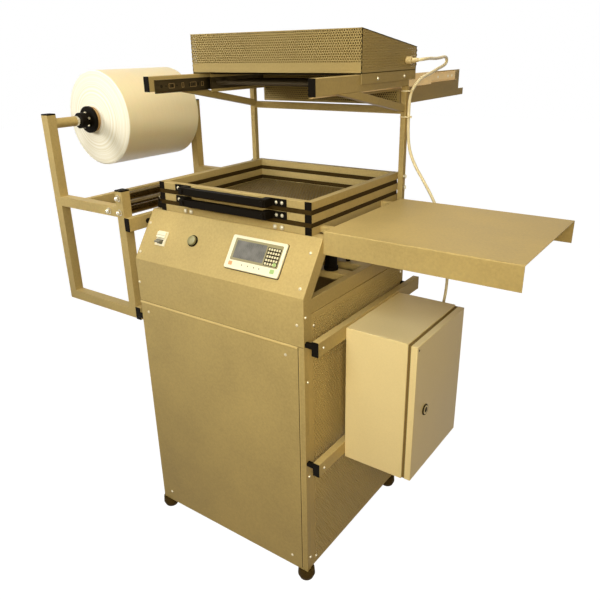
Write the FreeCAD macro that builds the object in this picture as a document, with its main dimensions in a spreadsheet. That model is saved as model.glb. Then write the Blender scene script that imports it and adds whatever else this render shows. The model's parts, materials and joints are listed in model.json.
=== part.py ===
# Floor-standing vacuum skin packaging machine: cabinet, film frames, heater carriage and film roll stand.
# X runs to the right, Y to the rear and Z up, in millimetres. The driving sizes measure X and Y from the
# middle of the cabinet, and each sub-part's Placement carries the shift to the middle of the whole footprint.
import FreeCAD, Part
import math
import os
import re
import Sketcher

os.makedirs("parts", exist_ok=True)
doc = FreeCAD.newDocument("SkinPackager")
Vector = FreeCAD.Vector

SIZES = {
    # Cabinet frame and sheets
    "cab_w": 600, "cab_d": 540, "sheet": 2, "post": 20, "tube_wall": 1.5,
    "foot_high": 30, "foot_d": 35, "foot_neck_d": 24, "foot_inset": 3,
    "rail_low_z": 40, "front_low_z": 35, "front_drop": 133, "side_drop": 51, "side_rail_high": 40,
    "floor_drop": 20, "strip_leg": 18, "column_bar_w": 40,
    # Openings of the side panels, a coarse grid in place of the fine punched holes
    "grid_across": 12, "grid_up": 19, "grid_web": 8,
    # Sloping console
    "deck_z": 1026, "slope_rise": 130, "slope_back": 88, "seam": 1, "deck_flange": 32,
    "cheek_w": 35, "hmi_u": 33, "hmi_v": 34, "hmi_w": 178, "hmi_h": 92, "hmi_rise": 6,
    "hmi_case_inset": 11, "hmi_depth": 32, "window_u": 15, "window_v": 25, "window_w": 153, "window_h": 57,
    "window_deep": 1.2,
    "button_u": -104, "button_v": 85, "button_ring_d": 33, "button_cap_d": 27, "button_stem_d": 18,
    "button_travel": 4, "button_ring_high": 5, "button_case": 30, "button_clear": 0.5,
    "breaker_u": -241, "breaker_v": 52, "breaker_w": 38, "breaker_h": 43, "breaker_deep": 45,
    "lever_v": 12, "lever_d": 9.4, "lever_w": 20, "lever_long": 11, "lever_thick": 4, "lever_lean": 35,
    # Film frames
    "frame_w": 530, "frame_set_back": 2, "frame_tube": 20, "gasket_high": 12, "seal_gap": 0.3,
    "seal_back": 2, "cap": 2, "pivot_d": 8, "pin_clear": 0.05, "hinge_inset": 10,
    "handle_x": -3, "handle_half": 194, "handle_plate": 42, "handle_plate_high": 19, "handle_plate_t": 4,
    "handle_bar": 18, "handle_out": 25, "handle_end": 16,
    # Vacuum table
    "table_clear": 4, "table_rise": 20, "table_plate": 4, "vacuum_box_high": 60, "vacuum_wall": 3,
    "vacuum_inset": 6, "column_x": 220, "column_y": -20, "column_d": 34, "column_foot_d": 40,
    "column_foot_high": 10, "rod_y": 71, "rod_d": 14,
    "hose_y": 130, "hose_d": 40, "spigot": 20, "pump_low": 10, "pump_w": 200, "pump_d": 140, "pump_h": 140,
    "motor_d": 126, "motor_long": 140, "oil_case": 60,
    # Heater stand
    "stand_post": 16, "stand_clear": 4, "stand_low_z": 640, "beam_z": 1353, "beam_high": 40, "beam_wide": 20,
    "beam_front_y": -182, "beam_set_in": 3, "cross_z": 1278, "cross_high": 20,
    "brace_low_z": 1284, "brace_high": 20, "brace_front_y": -87,
    # Slides and heater carriage
    "slide_front_y": -165, "slide_long": 650, "slide_z": 1348, "slide_high": 35, "slide_deep": 12.7,
    "slide_sheet": 1.5, "slide_lip": 11, "inner_high": 27, "inner_lip": 8, "slide_out": 215,
    "cage_y": 168, "cage_long": 200, "cage_sheet": 1, "cage_gap": 0.8,
    "side_front_y": 46, "side_step_y": 300, "tray_end_y": 740, "tray_lip_y": 783, "tray_z": 1300,
    "side_low_z": 1340, "tray_lip_high": 22, "web_top_z": 1383,
    "hood_over": 1, "hood_front_y": 14, "hood_rear_y": 320, "hood_z": 1395, "hood_front_z": 1500,
    "hood_rear_z": 1456, "skirt_z": 1370, "hood_ring": 38, "element_d": 12, "element_count": 5,
    "element_pitch": 50, "element_y": 72, "element_z": 1366, "reflector_drop": 2,
    "cable_gland_y": 260, "cable_gland_z": 1421, "gland_d": 20, "gland_long": 16,
    # Mounting rails and their spacers
    "rail_gap": 25, "mount_rail_t": 20, "mount_rail_high": 40, "left_top_drop": 59, "left_low_z": 686,
    "left_front_in": 14, "left_rear_out": 130, "right_top_drop": 93, "right_low_z": 394,
    "right_front_out": 2, "right_rear_out": 20, "spacer_d": 16, "spacer_inset": 10, "cheek_spacer": 21,
    # Roll stand
    "arm_tube": 30, "arm_wall": 2, "arm_low_rise": 2, "arm_span": 331, "outer_over": 26,
    "inner_over": 19, "arm_rail_rise": 39, "tie_in": 114, "tie_high": 40,
    "plug": 4, "roller_d": 25, "roller_shaft_d": 8, "roller_end_gap": 0.3, "nut_d": 13, "nut_high": 8,
    "roller_pitch": 48, "roller_rise": 42, "roll_room": 71, "roll_d": 298, "roll_y": -57, "roll_w": 311,
    "core_d": 84, "core_bore": 76, "roll_shaft_d": 20, "sleeve_d": 30, "sleeve_long": 78,
    "rear_sleeve_long": 25, "bearing_clear": 0.1,
    "chuck_long": 80, "chuck_hub_d": 48, "chuck_rim": 10, "chuck_nose": 26, "chuck_rim_d": 83,
    # Electric box and side table
    "box_y": -144, "box_w": 300, "box_z": 385, "box_high": 400, "box_deep": 176, "box_seal": 9,
    "box_seal_w": 12, "door_deep": 17, "door_low": 3, "box_rim": 14, "lock_y": -77, "lock_z": 575,
    "lock_d": 16, "lock_ring_d": 24, "lock_proud": 4, "cam_long": 34, "cam_w": 12, "cam_t": 3,
    "hinge_d": 8, "hinge_pin_d": 4, "knuckle": 25, "hinge_end": 45, "leaf": 2, "leaf_w": 18,
    "plate_gap": 6, "plate_inset": 20, "gear_deep": 66, "gear_gap": 14, "stud_d": 8,
    "box_gland_in": 95, "box_gland_z": 650,
    "side_table_w": 482, "side_table_out": 1, "side_table_d": 414, "side_table_rise": 19,
    "side_table_lip": 59, "bracket": 16, "bracket_long": 375, "bracket_front_in": 41, "bracket_rear_in": 357,
    # Switch beside the film frames
    "switch_t": 22, "switch_back": 4, "switch_d": 30, "switch_rise": 4, "switch_high": 32,
    # Cable of the heater
    "cable_d": 9, "cable_start": 0.9, "cable_end": 0.4,
}

PLACES = {
    "half_w": "cab_w / 2",
    "half_d": "cab_d / 2",
    "post_x": "half_w - sheet",
    "post_y": "half_d - sheet",
    "post_in_x": "post_x - post",
    "post_in_y": "post_y - post",
    "foot_x": "post_x - post / 2 - foot_inset",
    "foot_y": "post_y - post / 2 - foot_inset",
    "floor_z": "rail_low_z + floor_drop",
    "fold_z": "deck_z - slope_rise",
    "panel_top_z": "fold_z - front_drop",
    "console_low_z": "panel_top_z + seam",
    "side_top_z": "fold_z - side_drop",
    "side_rail_top": "side_top_z + side_rail_high",
    "strip_x": "half_w - strip_leg",
    "grid_y": "cheek_w - half_d",
    "grid_z": "rail_low_z + post",
    "grid_step_y": "(post_in_y - grid_y) / grid_across",
    "grid_step_z": "(side_top_z - grid_z) / grid_up",
    "slope": "atan((deck_z - fold_z) / slope_back)",
    "deck_front_y": "slope_back - half_d",
    "cheek_turn": "cheek_w * tan((90 deg - slope) / 2)",
    "sheet_turn": "sheet * tan((90 deg - slope) / 2)",
    "deck_turn": "sheet * tan(slope / 2)",
    "cheek_deck_y": "deck_front_y + cheek_w / sin(slope)",
    "frame_half": "frame_w / 2",
    "frame_in_x": "frame_half - frame_tube",
    "base_top": "deck_z + frame_tube",
    "middle_z": "base_top + gasket_high",
    "middle_top": "middle_z + frame_tube",
    "upper_z": "middle_top + gasket_high",
    "middle_axis_z": "middle_z + frame_tube / 2",
    "upper_axis_z": "upper_z + frame_tube / 2",
    "stand_x": "frame_half + stand_clear",
    "stand_out_x": "stand_x + stand_post",
    "stand_y": "half_d",
    "stand_rear_y": "stand_y + stand_post",
    "hinge_y": "stand_y + stand_post / 2",
    "frame_front_y": "deck_front_y + frame_set_back",
    "frame_rear_y": "hinge_y + hinge_inset",
    "beam_out_x": "stand_out_x - beam_set_in",
    "hood_half": "stand_out_x + hood_over",
    "beam_in_x": "beam_out_x - beam_wide",
    "beam_top": "beam_z + beam_high",
    "slide_in_x": "beam_in_x - slide_deep",
    "slide_top": "slide_z + slide_high",
    "inner_z": "slide_z + (slide_high - inner_high) / 2",
    "inner_top": "inner_z + inner_high",
    "inner_y": "slide_front_y + slide_out",
    "web_x": "slide_in_x - sheet",
    "table_z": "deck_z + table_rise",
    "vacuum_z": "table_z - table_plate - vacuum_box_high",
    "table_half": "frame_in_x - table_clear",
    "table_front_y": "frame_front_y + frame_tube + table_clear",
    "table_rear_y": "frame_rear_y - frame_tube - table_clear",
    "left_x": "half_w + rail_gap + mount_rail_t",
    "right_x": "half_w + rail_gap",
    "left_top_z": "deck_z - left_top_drop",
    "left_front_y": "left_front_in - half_d",
    "left_rear_y": "half_d + left_rear_out",
    "right_top_z": "side_top_z - right_top_drop",
    "right_front_y": "-half_d - right_front_out",
    "right_rear_y": "half_d + right_rear_out",
    "spacer_y": "half_d - spacer_inset",
    "box_x": "right_x + mount_rail_t",
    "box_mouth": "box_x + box_deep",
    "door_x": "box_mouth + box_seal",
    "door_out_x": "door_x + door_deep",
    "box_rear_y": "box_y + box_w",
    "box_top": "box_z + box_high",
    "door_z": "box_z + door_low",
    "door_top": "box_top - door_low",
    "hinge_axis_y": "box_rear_y + hinge_d / 2",
    "box_gland_x": "box_x + box_gland_in",
    "arm_front_y": "left_front_y",
    "arm_rear_y": "left_rear_y - arm_tube",
    "arm_inner_x": "left_x + arm_tube",
    "arm_out_x": "left_x + arm_span",
    "tie_x": "arm_out_x - tie_in",
    "roll_x": "arm_out_x - arm_tube / 2",
    "arm_low_z": "left_low_z + arm_low_rise",
    "arm_low_top": "arm_low_z + arm_tube",
    "arm_rail_z": "left_top_z + arm_rail_rise",
    "arm_rail_top": "arm_rail_z + arm_tube",
    "tie_z": "arm_rail_top - tie_high",
    "roller_x": "left_x + arm_tube / 2",
    "roller_out_x": "roller_x + roller_pitch",
    "roller_low_z": "arm_rail_z + arm_tube / 2",
    "roller_high_z": "roller_low_z + roller_rise",
    "inner_top_z": "roller_high_z + inner_over",
    "roll_z": "arm_rail_top + roll_d / 2 + roll_room",
    "outer_top_z": "roll_z + outer_over",
    "roll_rear_y": "roll_y + roll_w",
    "side_table_z": "deck_z + side_table_rise",
    "side_table_y": "frame_front_y - side_table_out",
    "bracket_front_y": "side_table_y + bracket_front_in",
    "bracket_rear_y": "side_table_y + bracket_rear_in",
    "table_end_x": "half_w + side_table_w",
    "switch_y": "frame_front_y + switch_back",
    "switch_z": "deck_z + switch_rise",
    "shift_x": "(roll_x + roll_d / 2 - table_end_x) / 2",
    "shift_y": "(cap - right_front_y - tray_lip_y) / 2",
}

# Sheets: the driving sizes are plain numbers, and the places follow from them by formula
sizes = doc.addObject("Spreadsheet::Sheet", "Sizes")
for row, (alias, value) in enumerate(SIZES.items(), 1):
    sizes.set("A%d" % row, alias)
    sizes.set("B%d" % row, str(value))
    sizes.setAlias("B%d" % row, alias)


def rule(text):
    """Write a formula's plain names as references to the two sheets."""
    def reference(match):
        name = match.group(0)
        if name in SIZES:
            return "Sizes." + name
        return "Places." + name if name in PLACES else name
    return re.sub(r"[a-z][a-z0-9_]*", reference, str(text))


places = doc.addObject("Spreadsheet::Sheet", "Places")
for row, alias in enumerate(PLACES, 1):
    places.set("A%d" % row, alias)
    places.setAlias("B%d" % row, alias)
for row, formula in enumerate(PLACES.values(), 1):
    places.set("B%d" % row, "=" + rule(formula))
doc.recompute()

NODES = []
AXIS_TURN = {"X": (Vector(0, 1, 0), 90), "Y": (Vector(1, 0, 0), -90), "Z": (Vector(0, 0, 1), 0)}


def value(text):
    """Give the number that a formula comes to."""
    found = sizes.evalExpression(rule(text))
    return float(getattr(found, "Value", found))


def block(x0, x1, y0, y1, z0, z1):
    """Make a box between two bounds along each axis."""
    item = doc.addObject("Part::Box", "Block")
    for path, low, high in (("Length", x0, x1), ("Width", y0, y1), ("Height", z0, z1)):
        item.setExpression(path, rule("(%s) - (%s)" % (high, low)))
    for path, low in (("x", x0), ("y", y0), ("z", z0)):
        item.setExpression("Placement.Base." + path, rule(low))
    return item


def rod(axis, first, second, start, end, diameter):
    """Make a round bar along an axis; first and second place it on the other two axes in X, Y, Z order."""
    item = doc.addObject("Part::Cylinder", "Rod")
    item.setExpression("Radius", rule("(%s) / 2" % diameter))
    item.setExpression("Height", rule("(%s) - (%s)" % (end, start)))
    item.Placement.Rotation = FreeCAD.Rotation(*AXIS_TURN[axis])
    across = iter((first, second))
    for name in "XYZ":
        item.setExpression("Placement.Base." + name.lower(), rule(start if name == axis else next(across)))
    return item


def cut(base, *tools):
    """Take the tools away from the base."""
    item = doc.addObject("Part::Cut", "Cut")
    item.Base = base
    item.Tool = tools[0] if len(tools) == 1 else group(*tools)
    return item


def common(base, tool):
    """Keep what two pieces share."""
    item = doc.addObject("Part::Common", "Shared")
    item.Base = base
    item.Tool = tool
    return item


def fuse(*pieces):
    """Join touching pieces into one."""
    item = doc.addObject("Part::MultiFuse", "Joined")
    item.Shapes = list(pieces)
    item.Refine = True
    return item


def group(*pieces):
    """Hold several pieces together without joining them."""
    item = doc.addObject("Part::Compound", "Set")
    item.Links = list(pieces)
    return item


def mirror(piece, normal=Vector(1, 0, 0)):
    """Mirror a piece across the middle of the cabinet."""
    item = doc.addObject("Part::Mirroring", "Mirrored")
    item.Source = piece
    item.Normal = normal
    return item


def both_sides(*pieces):
    """Give the pieces of the right side and their mirror images on the left."""
    return [copy for piece in pieces for copy in (piece, mirror(piece))]


def tube(axis, x0, x1, y0, y1, z0, z1, wall="tube_wall"):
    """Make a square tube, open at both ends, along an axis."""
    outer = [x0, x1, y0, y1, z0, z1]
    inner = list(outer)
    for number, name in enumerate("XYZ"):
        if name != axis:
            inner[2 * number] = "%s + %s" % (outer[2 * number], wall)
            inner[2 * number + 1] = "%s - %s" % (outer[2 * number + 1], wall)
    return cut(block(*outer), block(*inner))


def pipe(axis, first, second, start, end, outer, bore):
    """Make a round tube along an axis."""
    return cut(rod(axis, first, second, start, end, outer), rod(axis, first, second, start, end, bore))


def plane_of(body, role):
    """Find one of the body's own base planes."""
    return next(item for item in body.Origin.OriginFeatures if item.Role == role)


def draw(body, role, points, offset="0"):
    """Draw a closed outline of straight lines on a base plane, each corner tied to its formulas."""
    sketch = body.newObject("Sketcher::SketchObject", "Outline")
    sketch.AttachmentSupport = [(plane_of(body, role), "")]
    sketch.MapMode = "FlatFace"
    sketch.setExpression("AttachmentOffset.Base.z", rule(offset))
    spots = [Vector(value(across), value(up), 0) for across, up in points]
    for number, spot in enumerate(spots):
        sketch.addGeometry(Part.LineSegment(spot, spots[(number + 1) % len(spots)]), False)
    for number in range(len(spots)):
        sketch.addConstraint(Sketcher.Constraint("Coincident", number, 2, (number + 1) % len(spots), 1))
    for number, (spot, formulas) in enumerate(zip(spots, points)):
        for kind, size, formula in zip(("DistanceX", "DistanceY"), spot, formulas):
            place = sketch.addConstraint(Sketcher.Constraint(kind, -1, 1, number, 1, size))
            sketch.setExpression("Constraints[%d]" % place, rule(formula))
    return sketch


def padded(role, points, start, end):
    """Pad an outline between two distances along its plane's own axis."""
    body = doc.addObject("PartDesign::Body", "Profile")
    backward = role == "XZ_Plane"
    sketch = draw(body, role, points, "-(%s)" % end if backward else start)
    pad = body.newObject("PartDesign::Pad", "Pad")
    pad.Profile = sketch
    pad.setExpression("Length", rule("(%s) - (%s)" % (end, start)))
    return body


def turned(points, axis="Z", place=("0", "0", "0")):
    """Turn a half outline of (radius, distance) points round an axis through a place."""
    body = doc.addObject("PartDesign::Body", "Turned")
    sketch = draw(body, "XZ_Plane", points)
    turn = body.newObject("PartDesign::Revolution", "Turn")
    turn.Profile = sketch
    turn.ReferenceAxis = (sketch, ["V_Axis"])
    turn.Angle = 360
    body.Placement.Rotation = FreeCAD.Rotation(*AXIS_TURN[axis])
    for name, formula in zip("xyz", place):
        body.setExpression("Placement.Base." + name, rule(formula))
    return body


def bent_tube(label, points, folds, diameter):
    """Sweep a round cable along straight runs joined by tangent arcs, and print the bend radii."""
    spots = [Vector(*spot) for spot in points]
    runs = [(spots[n + 1] - spots[n]).Length for n in range(len(spots) - 1)]
    edges = []
    radii = []
    last = spots[0]
    for number in range(1, len(spots) - 1):
        into = (spots[number] - spots[number - 1]).normalize()
        out = (spots[number + 1] - spots[number]).normalize()
        turn = into.getAngle(out)
        trim = folds * min(runs[number - 1], runs[number])
        first = spots[number] - into * trim
        final = spots[number] + out * trim
        radius = trim / math.tan(turn / 2)
        centre_way = (out - into).normalize()
        middle = spots[number] + centre_way * (radius / math.cos(turn / 2) - radius)
        edges.append(Part.LineSegment(last, first).toShape())
        edges.append(Part.Arc(first, middle, final).toShape())
        radii.append(round(radius, 1))
        last = final
    edges.append(Part.LineSegment(last, spots[-1]).toShape())
    path = Part.Wire(edges)
    ring = Part.Wire([Part.makeCircle(diameter / 2, spots[0], spots[1] - spots[0])])
    shape = path.makePipeShell([ring], True, False)
    print(label, "length", round(path.Length, 1), "radii", radii)
    print(label, "volume ratio", round(shape.Volume / (path.Length * math.pi * diameter ** 2 / 4), 4))
    item = doc.addObject("Part::Feature", "Bent")
    item.Shape = shape
    return item


def node(label, *pieces, tilt=False):
    """Name a finished sub-part; a tilted one is drawn on the console's slope, Y up it and Z out of it."""
    item = pieces[0] if len(pieces) == 1 and pieces[0].TypeId == "Part::Cut" else group(*pieces)
    item.Label = label
    if tilt:
        item.Placement.Rotation = FreeCAD.Rotation(Vector(1, 0, 0), value("slope"))
        item.setExpression("Placement.Rotation.Angle", rule("slope"))
    item.setExpression("Placement.Base.x", rule("shift_x"))
    item.setExpression("Placement.Base.y", rule("shift_y - half_d" if tilt else "shift_y"))
    item.setExpression("Placement.Base.z", rule("fold_z" if tilt else "0"))
    NODES.append(item)


def tilted(*pieces):
    """Set pieces drawn on the slope into the machine's own directions."""
    item = group(*pieces)
    item.Placement.Rotation = FreeCAD.Rotation(Vector(1, 0, 0), value("slope"))
    item.setExpression("Placement.Rotation.Angle", rule("slope"))
    item.setExpression("Placement.Base.y", rule("-half_d"))
    item.setExpression("Placement.Base.z", rule("fold_z"))
    return item


def make_cabinet():
    """Feet, square-tube frame, sheets and floor."""
    foot = turned([("0", "0"), ("foot_d / 2 - sheet", "0"), ("foot_d / 2", "sheet"),
                   ("foot_d / 2", "foot_high * 2 / 3"), ("foot_neck_d / 2", "foot_high"), ("0", "foot_high")],
                  "Z", ("foot_x", "foot_y", "0"))
    front_foot = mirror(foot, Vector(0, 1, 0))
    node("leveling_feet", *both_sides(foot, front_foot))
    front_post = tube("Z", "post_in_x", "post_x", "-post_y", "-post_in_y", "foot_high", "side_rail_top")
    rear_post = tube("Z", "post_in_x", "post_x", "post_in_y", "post_y", "foot_high", "deck_z")
    node("cabinet_posts", *both_sides(front_post, rear_post))

    def cross_rail(y0, y1, z0, z1):
        return tube("X", "-post_in_x", "post_in_x", y0, y1, z0, z1)
    low_top = "rail_low_z + post"
    node("cabinet_rails",
         cross_rail("-post_y", "-post_in_y", "rail_low_z", low_top),
         cross_rail("post_in_y", "post_y", "rail_low_z", low_top),
         cross_rail("-post_y", "-post_in_y", "panel_top_z - post", "panel_top_z"),
         cross_rail("post_in_y", "post_y", "side_rail_top - post", "side_rail_top"),
         cross_rail("post_in_y", "post_y", "deck_z - post", "deck_z"),
         cross_rail("column_y - column_bar_w / 2", "column_y + column_bar_w / 2",
                    "side_rail_top - post", "side_rail_top"),
         cross_rail("rod_y - column_bar_w / 2", "rod_y + column_bar_w / 2",
                    "side_rail_top - post", "side_rail_top"),
         *both_sides(tube("Y", "post_in_x", "post_x", "-post_in_y", "post_in_y", "rail_low_z", low_top),
                     tube("Y", "post_in_x", "post_x", "-post_in_y", "post_in_y",
                          "side_top_z", "side_rail_top")))
    node("cabinet_floor", block("-post_in_x", "post_in_x", "-post_y", "post_y", "floor_z", "floor_z + sheet"))

    panel = padded("XY_Plane", [("strip_x", "-half_d"), ("strip_x", "-post_y"), ("-post_x", "-post_y"),
                                ("-post_x", "strip_leg - half_d"), ("-half_w", "strip_leg - half_d"),
                                ("-half_w", "-half_d")], "front_low_z", "panel_top_z")
    strip = padded("XY_Plane", [("strip_x", "-half_d"), ("half_w", "-half_d"),
                                ("half_w", "strip_leg - half_d"), ("post_x", "strip_leg - half_d"),
                                ("post_x", "-post_y"), ("strip_x", "-post_y")],
                   "front_low_z", "panel_top_z")
    node("front_panels", panel, strip)
    side = padded("YZ_Plane", [("strip_leg - half_d", "rail_low_z"), ("post_y", "rail_low_z"),
                               ("post_y", "side_top_z"), ("cheek_w - half_d", "side_top_z"),
                               ("cheek_w - half_d", "panel_top_z"), ("strip_leg - half_d", "panel_top_z")],
                  "post_x", "half_w")
    rear = block("-half_w", "half_w", "post_y", "half_d", "rail_low_z", "side_rail_top")
    node("cabinet_panels", *both_sides(cut(side, panel_openings())), rear)


def panel_openings():
    """Blocks of the side panel's grid of openings, where upright and level bars cross."""
    def between(start, step, number):
        return ("%s + %d * %s + grid_web / 2" % (start, number, step),
                "%s + %d * %s - grid_web / 2" % (start, number + 1, step))
    through = ("post_x - sheet", "half_w + sheet")
    upright = [block(*through, *between("grid_y", "grid_step_y", number), "grid_z", "side_top_z")
               for number in range(SIZES["grid_across"])]
    level = [block(*through, "grid_y", "post_in_y", *between("grid_z", "grid_step_z", number))
             for number in range(SIZES["grid_up"])]
    return common(group(*upright), group(*level))


def make_console():
    """Sloping console sheet with two side flanges, and what is set into it."""
    skin = padded("YZ_Plane", [("-half_d", "console_low_z"), ("-half_d", "fold_z"),
                               ("deck_front_y", "deck_z"), ("deck_front_y + deck_flange", "deck_z"),
                               ("deck_front_y + deck_flange", "deck_z - sheet"),
                               ("deck_front_y + deck_turn", "deck_z - sheet"),
                               ("-post_y", "fold_z - sheet_turn"), ("-post_y", "console_low_z")],
                  "-half_w", "half_w")
    cheek = padded("YZ_Plane", [("-post_y", "console_low_z"), ("cheek_w - half_d", "console_low_z"),
                                ("cheek_w - half_d", "fold_z - cheek_turn"),
                                ("cheek_deck_y", "deck_z"), ("deck_front_y", "deck_z"), ("-half_d", "fold_z"),
                                ("-post_y", "fold_z - sheet_turn")],
                   "post_x", "half_w")
    holes = tilted(
        block("hmi_u + hmi_case_inset", "hmi_u + hmi_w - hmi_case_inset", "hmi_v + hmi_case_inset",
              "hmi_v + hmi_h - hmi_case_inset", "-2 * sheet", "sheet"),
        block("breaker_u + sheet", "breaker_u + breaker_w - sheet", "breaker_v + sheet",
              "breaker_v + breaker_h - sheet", "-2 * sheet", "sheet"),
        rod("Z", "button_u", "button_v", "-2 * sheet", "sheet", "button_stem_d + 2 * button_clear"))
    node("console_cover", cut(fuse(skin, *both_sides(cheek)), holes))

    face = block("hmi_u", "hmi_u + hmi_w", "hmi_v", "hmi_v + hmi_h", "0", "hmi_rise")
    window = block("hmi_u + window_u", "hmi_u + window_u + window_w", "hmi_v + window_v",
                   "hmi_v + window_v + window_h", "hmi_rise - window_deep", "hmi_rise + window_deep")
    case = block("hmi_u + hmi_case_inset", "hmi_u + hmi_w - hmi_case_inset", "hmi_v + hmi_case_inset",
                 "hmi_v + hmi_h - hmi_case_inset", "-hmi_depth", "0")
    node("hmi_panel", fuse(cut(face, window), case), tilt=True)

    collar = pipe("Z", "button_u", "button_v", "0", "button_ring_high", "button_ring_d",
                  "button_cap_d + 2 * button_clear")
    barrel = pipe("Z", "button_u", "button_v", "-button_case", "-sheet", "button_cap_d + 2 * sheet",
                  "button_stem_d + 2 * button_clear")
    node("button_collar", collar, barrel, tilt=True)
    stem_end = "button_travel - button_case"
    cap = turned([("0", stem_end), ("button_stem_d / 2", stem_end),
                  ("button_stem_d / 2", "button_ring_high - button_clear"),
                  ("button_cap_d / 2", "button_ring_high - button_clear"),
                  ("button_cap_d / 2", "button_ring_high * 1.9"),
                  ("button_cap_d * 0.4", "button_ring_high * 2.3"),
                  ("button_cap_d / 4", "button_ring_high * 2.6"), ("0", "button_ring_high * 2.7")],
                 "Z", ("button_u", "button_v", "0"))
    node("button_cap", cap, tilt=True)

    body = fuse(block("breaker_u", "breaker_u + breaker_w", "breaker_v", "breaker_v + breaker_h",
                      "0", "sheet * 2"),
                block("breaker_u + sheet", "breaker_u + breaker_w - sheet", "breaker_v + sheet",
                      "breaker_v + breaker_h - sheet", "-breaker_deep", "0"),
                block("breaker_u + sheet", "breaker_u + breaker_w - sheet",
                      "breaker_v + breaker_h / 2", "breaker_v + breaker_h - sheet * 2", "0", "sheet * 5"))
    node("breaker_body", body, tilt=True)
    pivot_w = "sheet * 2 + lever_d / 2 + seal_gap"
    middle_u = "breaker_u + breaker_w / 2"
    barrel = rod("X", "0", "0", "-lever_w / 2", "lever_w / 2", "lever_d")
    paddle = block("-lever_w / 2", "lever_w / 2", "-lever_thick / 2", "lever_thick / 2", "0", "lever_long")
    lever = group(fuse(barrel, paddle))
    lever.Placement.Rotation = FreeCAD.Rotation(Vector(1, 0, 0), value("lever_lean"))
    lever.setExpression("Placement.Rotation.Angle", rule("lever_lean"))
    lever.setExpression("Placement.Base.x", rule(middle_u))
    lever.setExpression("Placement.Base.y", rule("breaker_v + lever_v"))
    lever.setExpression("Placement.Base.z", rule(pivot_w))
    node("breaker_lever", lever, tilt=True)


def film_frame(z0, holes):
    """Give the four tubes of a film frame, with pivot holes in its side tubes where it swings."""
    z1 = z0 + " + frame_tube"
    side = tube("Y", "frame_in_x", "frame_half", "frame_front_y + cap", "frame_rear_y - cap", z0, z1)
    if holes:
        side = cut(side, rod("X", "hinge_y", z0 + " + frame_tube / 2", "frame_half - 2 * tube_wall",
                             "frame_half + tube_wall", "pivot_d + 2 * pin_clear"))
    front = tube("X", "-frame_in_x", "frame_in_x", "frame_front_y", "frame_front_y + frame_tube", z0, z1)
    rear = tube("X", "-frame_in_x", "frame_in_x", "frame_rear_y - frame_tube", "frame_rear_y", z0, z1)
    return [front, rear] + both_sides(side)


def frame_caps(z0):
    """Give the plastic plugs in the ends of a film frame's side tubes."""
    z1 = z0 + " + frame_tube"
    return both_sides(
        block("frame_in_x", "frame_half", "frame_front_y", "frame_front_y + cap", z0, z1),
        block("frame_in_x", "frame_half", "frame_rear_y - cap", "frame_rear_y", z0, z1))


def gasket(z0):
    """Cut a flat seal that lies under the next frame and ends just short of its pivots."""
    z1 = z0 + " + gasket_high - seal_gap"
    outer = block("-frame_half", "frame_half", "frame_front_y", "hinge_y - seal_back", z0, z1)
    return cut(outer, block("-frame_in_x", "frame_in_x", "frame_front_y + frame_tube",
                            "frame_rear_y - frame_tube", z0, z1))


def handle(z_axis):
    """Give the two plates and the bent bar of a lifting handle."""
    z0 = z_axis + " - handle_plate_high / 2"
    z1 = z_axis + " + handle_plate_high / 2"
    face_y = "frame_front_y - handle_plate_t"
    bar_half = "(handle_half - handle_plate)"
    bar_y = "frame_front_y - handle_out"
    bar = block("handle_x - " + bar_half, "handle_x + " + bar_half, bar_y + " - handle_bar / 2",
                bar_y + " + handle_bar / 2", z_axis + " - handle_bar / 2", z_axis + " + handle_bar / 2")
    pieces = [bar]
    for low, high in (("handle_x - handle_half", "handle_x - %s + handle_end" % bar_half),
                      ("handle_x + %s - handle_end" % bar_half, "handle_x + handle_half")):
        pieces.append(block(low, high, face_y, "frame_front_y", z0, z1))
    for start in ("handle_x - " + bar_half, "handle_x + %s - handle_end" % bar_half):
        pieces.append(block(start, start + " + handle_end", bar_y, face_y, z0, z1))
    return fuse(*pieces)


def make_film_frames():
    """Base frame on the deck, then the middle and upper frames that swing up on the rear pivots."""
    node("base_film_frame", *film_frame("deck_z", False))
    node("base_gasket", gasket("base_top"))
    bolts = []
    bolts.append(rod("X", "hinge_y", "middle_axis_z", "frame_in_x + tube_wall", "stand_out_x", "pivot_d"))
    for height in ("middle_axis_z", "upper_axis_z"):
        bolts.append(rod("X", "hinge_y", height, "stand_out_x", "stand_out_x + cap * 3", "pivot_d * 1.6"))
    node("frame_hinge_bolts", *both_sides(fuse(bolts[0], bolts[1])),
         *both_sides(fuse(rod("X", "hinge_y", "upper_axis_z", "stand_x + cap", "stand_out_x", "pivot_d"),
                          bolts[2])))
    node("middle_film_frame", *film_frame("middle_z", True))
    node("middle_gasket", gasket("middle_top"))
    node("middle_handle", handle("middle_axis_z"), *frame_caps("middle_z"))
    stub = rod("X", "hinge_y", "upper_axis_z", "frame_in_x + tube_wall", "stand_x - seal_gap", "pivot_d")
    node("upper_film_frame", *film_frame("upper_z", True), *both_sides(stub))
    node("upper_handle", handle("upper_axis_z"), *frame_caps("upper_z"))
    switch = block("-frame_half - switch_t", "-frame_half", "switch_y", "switch_y + switch_d",
                   "switch_z", "switch_z + switch_high / 2")
    arm = rod("Z", "-frame_half - switch_t + cap * 2", "switch_y + cap * 2", "switch_z + switch_high / 2",
              "switch_z + switch_high", "cap * 2")
    node("frame_switch", fuse(switch, arm))


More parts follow.
